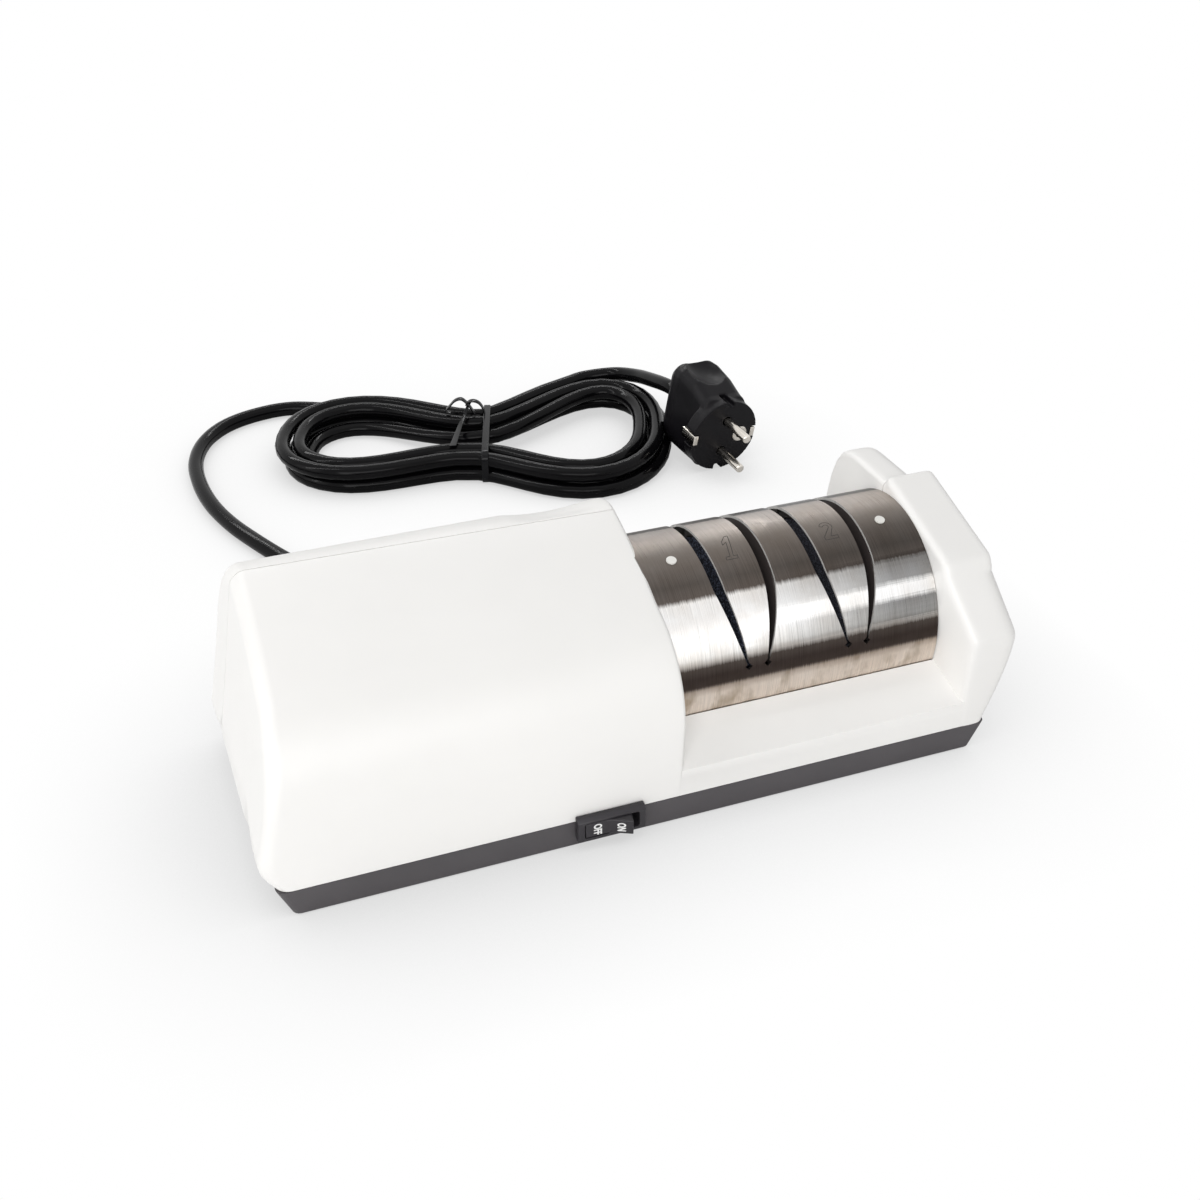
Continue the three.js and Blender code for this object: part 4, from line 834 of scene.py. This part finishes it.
def body_block(name, side, start, inset, end, face_rounding, between, outline_at, lean_at):
    """Outlines pushed outwards from a block's inner face, rounded at its outer end."""
    rounding = end["rounding"] - inset

    def place(reach, y, z):
        near = start - lean_at(y)
        share = (reach - start) / (HALF_LENGTH - start)
        return side * (near + (end_reach(z, end) - near) * share), y, z

    def ring(reach, shrink, share=1.0):
        outline = inset_outline(outline_at(reach - start), inset + shrink)
        return [place(reach, y * share, CREASE_Z + (z - CREASE_Z) * share) for y, z in outline]

    def rounded_edge(radius, steps):
        """How far each station lies from the edge's outer end, and how much it shrinks there."""
        turns = [radians(90 * i / steps) for i in range(steps + 1)]
        return [(radius * (1 - sin(a)), radius * (1 - cos(a))) for a in turns]

    stations = []
    if face_rounding:
        stations = [(start + a, shrink) for a, shrink in rounded_edge(face_rounding, 7)[:0:-1]]
    stations += [(start + face_rounding, 0)] + [(start + distance, 0) for distance in between]
    stations += [(HALF_LENGTH - inset - a, shrink) for a, shrink in rounded_edge(rounding, 14)]
    rings = [ring(*stations[0], share) for share in END_RINGS[::-1]]
    rings += [ring(*station) for station in stations]
    rings += [ring(*stations[-1], share) for share in END_RINGS]
    return loft(name, rings)


def dip_at(distance):
    share = (distance - DIP_FROM_FACE) / DIP_LENGTH
    return DIP_DEPTH * sin(share * pi) if 0 < share < 1 else 0


def face_lean_at(y):
    share = (y - BODY_FRONT_Y / 2) / -BODY_FRONT_Y
    return FACE_LEAN * min(max(share, 0), 1)


def housing_solid(name, inset):
    return body_block(
        name, -1, inset - HOUSING_FACE_X, inset, HOUSING_END, 0 if inset else FACE_ROUNDING,
        [*(DIP_FROM_FACE + DIP_LENGTH * i / 16 for i in range(17)), *HOUSING_STATIONS],
        lambda distance: housing_outline(dip_at(distance)), (lambda y: 0) if inset else face_lean_at,
    )


def block_solid(name, inset):
    outline = block_outline()
    block = body_block(name, 1, BLOCK_FACE_X + inset, inset, BLOCK_END, 0, BLOCK_STATIONS,
                       lambda distance: outline, lambda y: 0)
    slope = atan2(BEVEL_RUN, -BODY_FRONT_Y + FACET_TOP[0])
    shift = BLOCK_FACE_X + inset / cos(slope)
    before, inside = 2 * BODY_FRONT_Y - FACET_TOP[0], BLOCK_FACE_X - CUT_DEPTH
    corner = [(inside, FACET_TOP[0]), (inside, before), (shift + 2 * BEVEL_RUN, before),
              (shift, FACET_TOP[0])]
    return cut(block, prism_z("corner", corner, -FAR, FAR))


def pad_solid():
    y, z = FACET_TOP
    rise = PAD_PROUD / cos(atan2(CHEEK_Z - z, CHEEK_FRONT_Y - y))
    outline = [
        (y - PAD_LEAD, z - PAD_LEAD), (y + PAD_LEAD / 2, z + rise), (CHEEK_FRONT_Y, CHEEK_Z + rise),
        (CHEEK_FRONT_Y, CHEEK_Z - PAD_SKIRT), (y, z - PAD_SKIRT),
    ]
    return prism_x("pad", outline, BLOCK_FACE_X, HALF_LENGTH - PAD_END_INSET)


def apron_outline(side):
    """Wall between the blocks, from the skirt up to the guide: front 1, rear -1."""
    edge = sqrt(GUIDE_RADIUS ** 2 - (SPINDLE_Z - APRON_Z) ** 2) + SEAM_GAP
    slope = atan2(APRON_Z - SKIRT_Z, -RIM_FRONT_Y - edge)
    drop = SHELL_WALL / cos(slope)
    inner = RIM_FRONT_Y + SHELL_WALL
    outline = [
        (RIM_FRONT_Y, SHELL_BOTTOM_Z - 4), (RIM_FRONT_Y, SKIRT_Z), (-edge, APRON_Z),
        (-edge, APRON_Z - drop), (inner, SKIRT_Z - drop * sin(slope)), (inner, SHELL_BOTTOM_Z - 4),
    ]
    return [(side * y, z) for y, z in outline]


def guide_outline(inner, outer, steps):
    arch = lambda radius: arc((0, SPINDLE_Z), radius, -GUIDE_FOOT, 180 + GUIDE_FOOT, steps)
    return arch(outer) + arch(inner)[::-1]


def parting_space(name, gap):
    """All that lies behind the parting line, which steps forward between the blocks."""
    roof_end = REAR_ROUND[0] + REAR_RADIUS * cos(radians(REAR_START)) + gap
    block_y = CHEEK_FRONT_Y + gap
    step = (HOUSING_FACE_X + BLOCK_FACE_X) / 2
    housing_y = [roof_end + PARTING_BACK + PARTING_SLOPE * (HOUSING_FACE_X - x) for x in (-FAR, step)]
    outline = [(-FAR, housing_y[0]), (step, housing_y[1]), (step, block_y), (FAR, block_y), (FAR, FAR),
               (-FAR, FAR)]
    return prism_z(name, outline, -FAR, FAR)


def make_shells():
    housing = cut(housing_solid("front_cover", 0), housing_solid("space", SHELL_WALL))
    block = block_solid("end_block", 0)
    soften(block, SOFT_VOXEL, SOFT_PASSES, 1.0, SOFT_GROWTH)
    combine(block, "UNION", bevel(pad_solid(), PAD_ROUNDING, 6, 40))
    soften(block, SOFT_VOXEL, 4, SOFT_SHARE)
    cut(block, box("face", BLOCK_FACE_X - CUT_DEPTH, BLOCK_FACE_X, -FAR, FAR, -FAR, FAR))
    cut(block, block_solid("space", SHELL_WALL))
    lap = HOUSING_FACE_X - APRON_LAP
    front = prism_x("apron", apron_outline(1), lap, BLOCK_FACE_X + BEVEL_RUN + SHELL_WALL)
    cut(front, block_solid("space", SHELL_WALL))
    rear = prism_x("apron_rear", apron_outline(-1), lap, BLOCK_FACE_X + APRON_LAP)
    combine(housing, "UNION", block, front, rear)
    arch = guide_outline(*GROOVE_RADII, 120)
    groove = prism_x("groove", arch, HOUSING_FACE_X, BLOCK_FACE_X - SEAM_GAP)
    below = box("below", -FAR, FAR, -FAR, FAR, -FAR, SHELL_BOTTOM_Z)
    bore = prism_x("bore", circle((0, SPINDLE_Z), BORE_RADIUS, 64), 0, BORE_END_X)
    cut(housing, below, groove, bore)
    back = link(housing.copy())
    back.data = housing.data.copy()
    back.name = "rear_cover"
    notch = box("notch", *around(SWITCH_X, NOTCH_HALF), *NOTCH_Y, *NOTCH_Z)
    cut(housing, parting_space("rear_space", 0), notch)
    gland_hole = prism_y("hole", circle(GLAND, GLAND_HOLE_RADIUS, 40), 0, FAR)
    combine(back, "INTERSECT", parting_space("rear_space", PARTING_GAP))
    cut(back, gland_hole)
    machine_piece(housing, "shell_white", "front_shell")
    machine_piece(back, "shell_white", "rear_shell")


# Guide

SLOT_TIP_Z = SPINDLE_Z + GUIDE_RADIUS * sin(radians(SLOT_TIP_ANGLE))


def slot_offset(z):
    z = min(z, SLOT_BEND_Z) + SLOT_BEND * max(z - SLOT_BEND_Z, 0)
    return SLOT_TIP_OFFSET + (z - SLOT_TIP_Z) * tan(radians(SLOT_TILT))


def slot_cutter(stage, side):
    """A slot over the whole arch, which widens from its tips towards the crest."""
    near, far = SLOT_CUT_RADII
    rings = []
    for i in range(SLOT_STEPS + 1):
        angle = SLOT_TIP_ANGLE + (180 - 2 * SLOT_TIP_ANGLE) * i / SLOT_STEPS
        from_tip = min(angle, 180 - angle) - SLOT_TIP_ANGLE + SLOT_TIP_START
        half = SLOT_WIDTH / 2 * min((from_tip / SLOT_TAPER_SPAN) ** SLOT_TAPER_POWER, 1)
        c, s = -cos(radians(angle)), sin(radians(angle))
        middle = stage + side * slot_offset(SPINDLE_Z + GUIDE_RADIUS * s)
        corners = ((-half, near), (half, near), (half, far), (-half, far))
        rings.append([(middle + w, r * c, SPINDLE_Z + r * s) for w, r in corners])
    return loft("slot", rings)


def relief_cutter(stage, side, end):
    """Small square hole at a slot's tip."""
    square = circle((stage + side * SLOT_TIP_OFFSET, SLOT_TIP_Z), SLOT_RELIEF, 4)
    return prism_y("relief", square, *on_side(end, RELIEF_CUT_Y))


def make_guide():
    outline = guide_outline(GUIDE_RADIUS - GUIDE_THICKNESS, GUIDE_RADIUS, 180)
    guide = prism_x("guide_sheet", outline, HOUSING_FACE_X + SEAM_GAP, BLOCK_FACE_X - SEAM_GAP)
    cutters = []
    for stage in STAGE_XS:
        for side in (-1, 1):
            cutters.append(slot_cutter(stage, side))
            cutters += [relief_cutter(stage, side, end) for end in (-1, 1)]
    cut(guide, *cutters)
    machine_piece(guide, "guide_steel", "steel_guide", angle=30)
    inner, outer = STRIP_RADII
    middle = (0, SPINDLE_Z)
    line = arc(middle, outer, *STRIP_ANGLES, 30) + arc(middle, inner, *STRIP_ANGLES[::-1], 30)
    for number, stage in enumerate(STAGE_XS, 1):
        strip = prism_x(f"guide_strip_{number}", line, *around(stage, STRIP_HALF))
        machine_piece(bevel(strip, STRIP_BEVEL), "insert_plastic")


def digit_outline(text, height):
    """Outline of a digit about its middle, in short steps so that it can be bent."""
    up = height / 2
    if text == "1":
        half, base, foot = 0.75, 2.5, -up + 1.5
        outline = [(-base, -up), (base, -up), (base, foot), (half, foot), (half, up), (-half, up),
                   (-base, up - 3), (-base, up - 5), (-half, up - 3.6), (-half, foot), (-base, foot)]
    else:
        r, w, foot = height * 0.28, 1.5, -up
        bowl = lambda *turn: arc((0, up - r), *turn)
        outline = bowl(r, 165, -42, 20) + [(-r + 2.6, foot + w), (r + 0.3, foot + w), (r + 0.3, foot)]
        outline += [(-r - 0.4, foot), (-r - 0.4, foot + w)] + bowl(r - w, -42, 165, 16)
    corners = outline + outline[:1]
    dense = []
    for (a, b), (c, d) in zip(corners, corners[1:]):
        steps = max(1, ceil(hypot(c - a, d - b) / ETCH_SPACING))
        dense += [(a + (c - a) * i / steps, b + (d - b) * i / steps, 0) for i in range(steps)]
    return dense


def etch_digit(text, x, angle, height, lean):
    """An outlined digit pressed into the guide, its foot towards the front."""
    curve, spline = tube_curve(f"digit_{text}", digit_outline(text, height), ETCH_RADIUS, 1)
    spline.use_cyclic_u = True

    def on_arch(a, b, c):
        turn = radians(angle) + b / GUIDE_RADIUS
        reach = GUIDE_RADIUS + c * ETCH_DEPTH
        return x + a + lean * b, -reach * cos(turn), SPINDLE_Z + reach * sin(turn)

    machine_piece(bent_mesh(curve, on_arch), "guide_steel", finish=finishes["etched"])


# Switch

def rocker_face(x):
    """How far the rocker's face stands out: two halves that meet in a shallow hollow."""
    rise = sqrt(x * x + ROCKER_HOLLOW) - ROCKER_HOLLOW_Y
    return ROCKER_FACE_Y - ROCKER_RISE * rise / ROCKER_RISE_SPAN


def make_word(word, x, length, turn):
    curve = bpy.data.curves.new("word_" + word.lower(), "FONT")
    adjust(curve, body=word, size=WORD_SIZE * MM, offset=WORD_BOLD * MM, extrude=WORD_THICKNESS * MM,
           align_x="CENTER", align_y="CENTER")

    def on_face(a, b, c):
        along = x + b * WORD_STRETCH
        return along, rocker_face(along) - c - WORD_SINK, -a * length - WORD_DROP

    letters = bent_mesh(curve, on_face)
    letters.data.transform(turn)
    machine_piece(letters, "shell_white", body="rocker", finish=finishes["letter_white"])


def make_switch():
    bezel = prism_x("switch_bezel", BEZEL_PROFILE, *around(SWITCH_X, BEZEL_HALF))
    bevel(bezel, BEZEL_BEVEL)
    combine(bezel, "UNION", box("body", *around(SWITCH_X, BODY_HALF), *BODY_Y, *BODY_Z))
    outline = [(SWITCH_X + x, SWITCH_Z - WELL_DROP + z) for x, z in rounded(*WELL_HALVES, WELL_ROUNDING)]
    cut(bezel, prism_y("well", outline, *WELL_Y))
    machine_piece(bezel, "switch_black", "switch_body")
    pivot = Vector((SWITCH_X, PIVOT_Y, SWITCH_Z)) * MM
    turn = Matrix.Translation(pivot) @ Matrix.Rotation(radians(ROCKER_TURNED), 4, "Z")
    xs = [-ROCKER_HALF + 2 * ROCKER_HALF * i / 30 for i in range(31)]
    outline = [(x, rocker_face(x)) for x in xs] + ROCKER_BACK
    rocker = bevel(prism_z("rocker_key", outline, *ROCKER_Z), ROCKER_BEVEL, 4, 40)
    rocker.data.transform(turn)
    machine_piece(rocker, "switch_black", "switch_rocker", body="rocker")
    for word, (x, length) in WORDS.items():
        make_word(word, x, length, turn)


# Cord

def centripetal(points, spacing):
    """A smooth line through points, like the route of the solid cord."""
    points = [Vector(p) for p in points]
    points = [points[0] * 2 - points[1], *points, points[-1] * 2 - points[-2]]
    line = []
    for a, b, c, d in zip(points, points[1:], points[2:], points[3:]):
        k = [sqrt((q - p).length) for p, q in ((a, b), (b, c), (c, d))]
        t1 = ((b - a) / k[0] - (c - a) / (k[0] + k[1]) + (c - b) / k[1]) * k[1]
        t2 = ((c - b) / k[1] - (d - b) / (k[1] + k[2]) + (d - c) / k[2]) * k[1]
        steps = max(1, round((c - b).length / spacing))
        for i in range(steps):
            t = i / steps
            line.append(
                b * (2 * t ** 3 - 3 * t ** 2 + 1) + t1 * (t ** 3 - 2 * t ** 2 + t)
                + c * (3 * t ** 2 - 2 * t ** 3) + t2 * (t ** 3 - t ** 2))
    return line + [points[-2]]


def blend_share(share):
    return (1 - cos(pi * min(max(share, 0), 1))) / 2


def power(value, exponent):
    return copysign(abs(value) ** exponent, value)


def hank_place(angle):
    c, s = cos(angle), sin(angle)
    along = HANK_HALF * power(c, HANK_ROUNDNESS)
    lobe = HANK_LOBES[0] if c < 0 else HANK_LOBES[1]
    half = HANK_WAIST + (lobe - HANK_WAIST) * blend_share(abs(along) / HANK_HALF)
    shift = HANK_SHIFTS[0] + (HANK_SHIFTS[1] - HANK_SHIFTS[0]) * blend_share(along / HANK_HALF)
    return Vector((along, shift + half * power(s, HANK_ROUNDNESS)))


HANK_WHOLE = 2 * HANK_TURNS + (HANK_START - HANK_END) / 360


def hank_point(turn):
    angle = radians(HANK_START) - 2 * pi * turn
    base = hank_place(angle)
    reach = radians(HANK_TURNS)
    along = (hank_place(angle - reach) - hank_place(angle + reach)).normalized()
    step = HANK_PITCH * (1 + HANK_SPREAD * (1 - blend_share(abs(base.x) / HANK_HALF)))
    flat = base + Vector((-along.y, along.x)) * step * abs(turn - HANK_WHOLE / 2)
    turned = Matrix.Rotation(radians(HANK_TURNED), 2) @ flat + Vector(HANK_MIDDLE)
    climb = blend_share((turn - HANK_WHOLE / 2) / HANK_CLIMB + 0.5)
    return Vector((*turned, HANK_BOTTOM + HANK_LIFT * climb))


PLUG_FACE = Vector((*PLUG_PLACE, PLUG_RADIUS * cos(radians(PLUG_NOSE))))
PLUG_POSE = (
    Matrix.Rotation(radians(PLUG_TURNED), 4, "Z")
    @ Matrix.Rotation(radians(PLUG_NOSE), 4, "X")
    @ Matrix.Rotation(radians(PLUG_ROLL), 4, "Y")
)


def cord_line():
    start = [(GLAND[0], y, GLAND[1]) for y in CORD_START_Y]
    first, second = hank_point(0), hank_point(0.02)
    into = (first - second).normalized() * CORD_DIAMETER
    lead = centripetal([*start, *LEAD_POINTS, first + into * 2, first + into], CORD_SPACING)
    count = round(HANK_WHOLE * HANK_STEPS)
    hank = [hank_point(HANK_WHOLE * i / count) for i in range(count + 1)]
    last = hank[-1]
    away = (last - hank[-2]).normalized() * CORD_DIAMETER
    backwards = PLUG_POSE.to_3x3() @ Vector((0, 1, 0))
    back, along = PLUG_FACE + backwards * PLUG_BACK, backwards * CORD_DIAMETER
    points = [last + away, last + away * 2, *TAIL_POINTS, back + along, back, back - along]
    return lead + hank + centripetal(points, CORD_SPACING)


def make_cord():
    line = cord_line()
    curve, spline = tube_curve("supply_cord", line, CORD_DIAMETER / 2, 5)
    curve.use_fill_caps = True
    spline.use_smooth = True
    cord = new_object("supply_cord", curve)
    dress(cord, "cord_black", "housing")
    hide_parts("cord_lead", "cord_hank", "cord_tail")
    length = sum((b - a).length for a, b in zip(line, line[1:])) * MM
    return cord, length


def ribbon(name, line, width, thickness, across, start_share=1):
    """A flat band along a line, with its width along across and narrower at its start."""
    rings = []
    for i, place in enumerate(line):
        along = (line[min(i + 1, len(line) - 1)] - line[max(i - 1, 0)]).normalized()
        side = Vector(across).normalized()
        side = (side - along * side.dot(along)).normalized()
        up = side.cross(along)
        half = width / 2 * (start_share + (1 - start_share) * i / (len(line) - 1))
        flat = rounded(half, thickness / 2, min(thickness, half * 2) * 0.45, 3)
        rings.append([tuple(place + side * a + up * b) for a, b in flat])
    return loft(name, rings)


def make_tie():
    """Band over the waist with two curled ears and a tail."""
    top = HANK_BOTTOM + HANK_LIFT + CORD_DIAMETER / 2 + TIE_CLEARANCE
    corner = CORD_DIAMETER / 2 + TIE_CORNER
    upper, lower = top - corner, corner + 0.1
    front, rear = TIE_REACH[0] + corner, TIE_REACH[1] - corner
    profile = arc((front, lower), corner, 235, 180, 6) + arc((front, upper), corner, 180, 90, 8)
    profile += arc((rear, upper), corner, 90, 0, 8) + arc((rear, lower), corner, 0, -55, 6)
    turn = Matrix.Rotation(radians(HANK_TURNED), 3, "Z")
    middle = Vector((*HANK_MIDDLE, 0))
    line = [turn @ Vector((TIE_X - TIE_LEAN * y, y, z)) + middle for y, z in profile]
    band = ribbon("tie_band", line, TIE_WIDTH, TIE_THICKNESS, turn @ Vector((1, TIE_LEAN, 0)))
    pieces = [finish_piece(band, "coupling_black", "cord_tie", angle=40)]
    for name, (width, across, start_share, points) in TIE_ENDS.items():
        end = ribbon(name, centripetal(points, 0.6), width, TIE_END_THICKNESS, across, start_share)
        pieces.append(finish_piece(end, "coupling_black", angle=40))
    return pieces


def make_gland():
    """Strain relief: a flange and a tapered sleeve with grooves round it."""
    profile = [*GLAND_FLANGE]
    for y in GLAND_RINGS:
        radius = GLAND_RADIUS - GLAND_TAPER * (y - GLAND_TAPER_Y)
        depth = radius - GLAND_GROOVE
        profile += [(radius, y), (depth, y + 0.5), (depth, y + 1.6), (radius - 0.1, y + 2.1)]
    gland = lathe_y("cord_relief", profile + GLAND_TIP, *GLAND, 40, closed=True)
    return machine_piece(gland, "cord_black", "cord_gland")


def plug_piece(obj, slot, angle, *nodes):
    obj.data.transform(Matrix.Translation(PLUG_FACE * MM) @ PLUG_POSE)
    return finish_piece(obj, slot, *nodes, angle=angle)


def make_plug():
    """Round face, flat grip with a finger hollow on each side, and a collar for the cord."""
    body = disc("plug_moulding", PLUG_RADIUS, 0, PLUG_RIM)
    grip = loft("grip", [[(x + shift, y, z) for x, z in rounded(a, b, GRIP_ROUNDING, 8)]
                         for y, a, b, shift in GRIP_SECTIONS])
    combine(body, "UNION", grip, disc("collar", COLLAR_RADIUS, COLLAR_START, PLUG_BACK))
    cutters = [disc("socket", SOCKET_RADIUS, -3, 9, 0, SOCKET_Z)]
    for side in (-1, 1):
        groove, channel = on_side(side, GROOVE_REACH), on_side(side, CHANNEL_REACH)
        hollow_x, hollow_y = HOLLOW_PLACE
        cutters += [
            ellipsoid("hollow", HOLLOW_HALVES, (side * hollow_x + HOLLOW_SHIFT, hollow_y, 0)),
            disc("seat", SEAT_RADIUS, -3, 6, side * PIN_X),
            box("groove", *groove, -1, 9.5, *around(0, GROOVE_HALF)),
            box("channel", *around(0, CHANNEL_HALF), 1.4, 12.5, *channel),
            box("channel_front", *around(0, CHANNEL_FRONT_HALF), -1, 3, *channel),
        ]
    cut(body, *cutters)
    soften(body, 0.45, 6, 0.5)
    pieces = [plug_piece(body, "plug_black", 50, "plug_body")]
    tip = [(PIN_TIP[0] + a, PIN_TIP[1] - b) for a, b in arc((0, 0), 1.0, 90, 0, 5)]
    for word, side in (("left", -1), ("right", 1)):
        pin = lathe_y("pin_" + word, PIN_PROFILE[:1] + tip + PIN_PROFILE[1:], side * PIN_X, 0)
        pieces.append(plug_piece(pin, "plug_nickel", 40, "plug_pin_" + word))
    ring = lathe_y("socket_ring", RING_PROFILE, 0, SOCKET_Z, closed=True)
    pieces.append(plug_piece(ring, "plug_nickel", 40))
    for word, side in (("top", 1), ("bottom", -1)):
        clip = box("earth_clip_" + word, *around(0, CLIP_HALF), *CLIP_Y, *on_side(side, CLIP_REACH))
        pieces.append(plug_piece(bevel(clip, 0.5), "plug_nickel", 40, "plug_clip_" + word))
    return pieces


# Stage

def aim_at(obj, place, aim):
    place, aim = Vector(place) * MM, Vector(aim) * MM
    obj.location = place
    obj.rotation_mode = "QUATERNION"
    obj.rotation_quaternion = (aim - place).to_track_quat("-Z", "Y")


def make_camera():
    data = adjust(bpy.data.cameras.new("camera"), lens=CAMERA_LENS, sensor_width=SENSOR_WIDTH,
                  clip_start=0.01, clip_end=20)
    camera = new_object("camera", data)
    aim_at(camera, CAMERA_PLACE, CAMERA_AIM)
    bpy.context.scene.camera = camera


def show_mixed(tree, output, share, first, second):
    inputs = {"Fac": share, 1: first[0], 2: second[0]}
    node(tree, output, {"Surface": node(tree, "MixShader", inputs)[0]})


def make_world():
    """White for rays that see the background, from the camera or through gloss or glass."""
    world = bpy.data.worlds.new("studio")
    world.use_nodes = True
    tree = world.node_tree
    tree.nodes.clear()
    rays = node(tree, "LightPath")
    seen = rays["Is Camera Ray"]
    for other in ("Is Glossy Ray", "Is Transmission Ray"):
        seen = math_node(tree, "MAXIMUM", seen, rays[other])
    light = node(tree, "Background", {"Strength": WORLD_LIGHT})
    show_mixed(tree, "OutputWorld", seen, light, node(tree, "Background", {"Color": (1, 1, 1, 1)}))
    bpy.context.scene.world = world


def make_floor():
    """A plain white floor that darkens softly where the object stands over it."""
    corners = [(x * FLOOR_HALF, y * FLOOR_HALF, 0) for x, y in ((-1, -1), (1, -1), (1, 1), (-1, 1))]
    floor = mesh_object("floor", corners, [(0, 1, 2, 3)])
    material = bpy.data.materials.new("floor")
    material.use_nodes = True
    tree = material.node_tree
    tree.nodes.clear()
    matt = node(tree, "BsdfDiffuse", {"Color": full(FLOOR_TONE)})
    open_share = node(tree, "AmbientOcclusion", {"Distance": FLOOR_SHADOW_REACH * MM}, samples=8)
    strength = spread(tree, open_share["AO"], FLOOR_SHADOW, 1.0, 0.25, 0.98)
    from_camera = node(tree, "LightPath")["Is Camera Ray"]
    show_mixed(tree, "OutputMaterial", from_camera, matt, node(tree, "Emission", {"Strength": strength}))
    paint(floor, material)


def make_lamp(name, place, aim, size, watts):
    data = adjust(bpy.data.lights.new(name, "AREA"), shape="RECTANGLE", size=size[0], size_y=size[1],
                  energy=watts)
    aim_at(new_object(name, data), place, aim)


make_camera()
cord, cord_length = make_cord()
tie_pieces = make_tie()
gland = make_gland()
plug_pieces = make_plug()
make_shells()
make_guide()
for text, place in DIGITS.items():
    etch_digit(text, *place)
make_switch()

for name, carried in frame["nodes"].items():
    paint(carried, finish_of(node_slot[name]))

make_world()
make_floor()
for name, settings in LAMPS.items():
    make_lamp(name, *settings)
bpy.context.scene.view_settings.view_transform = "Standard"
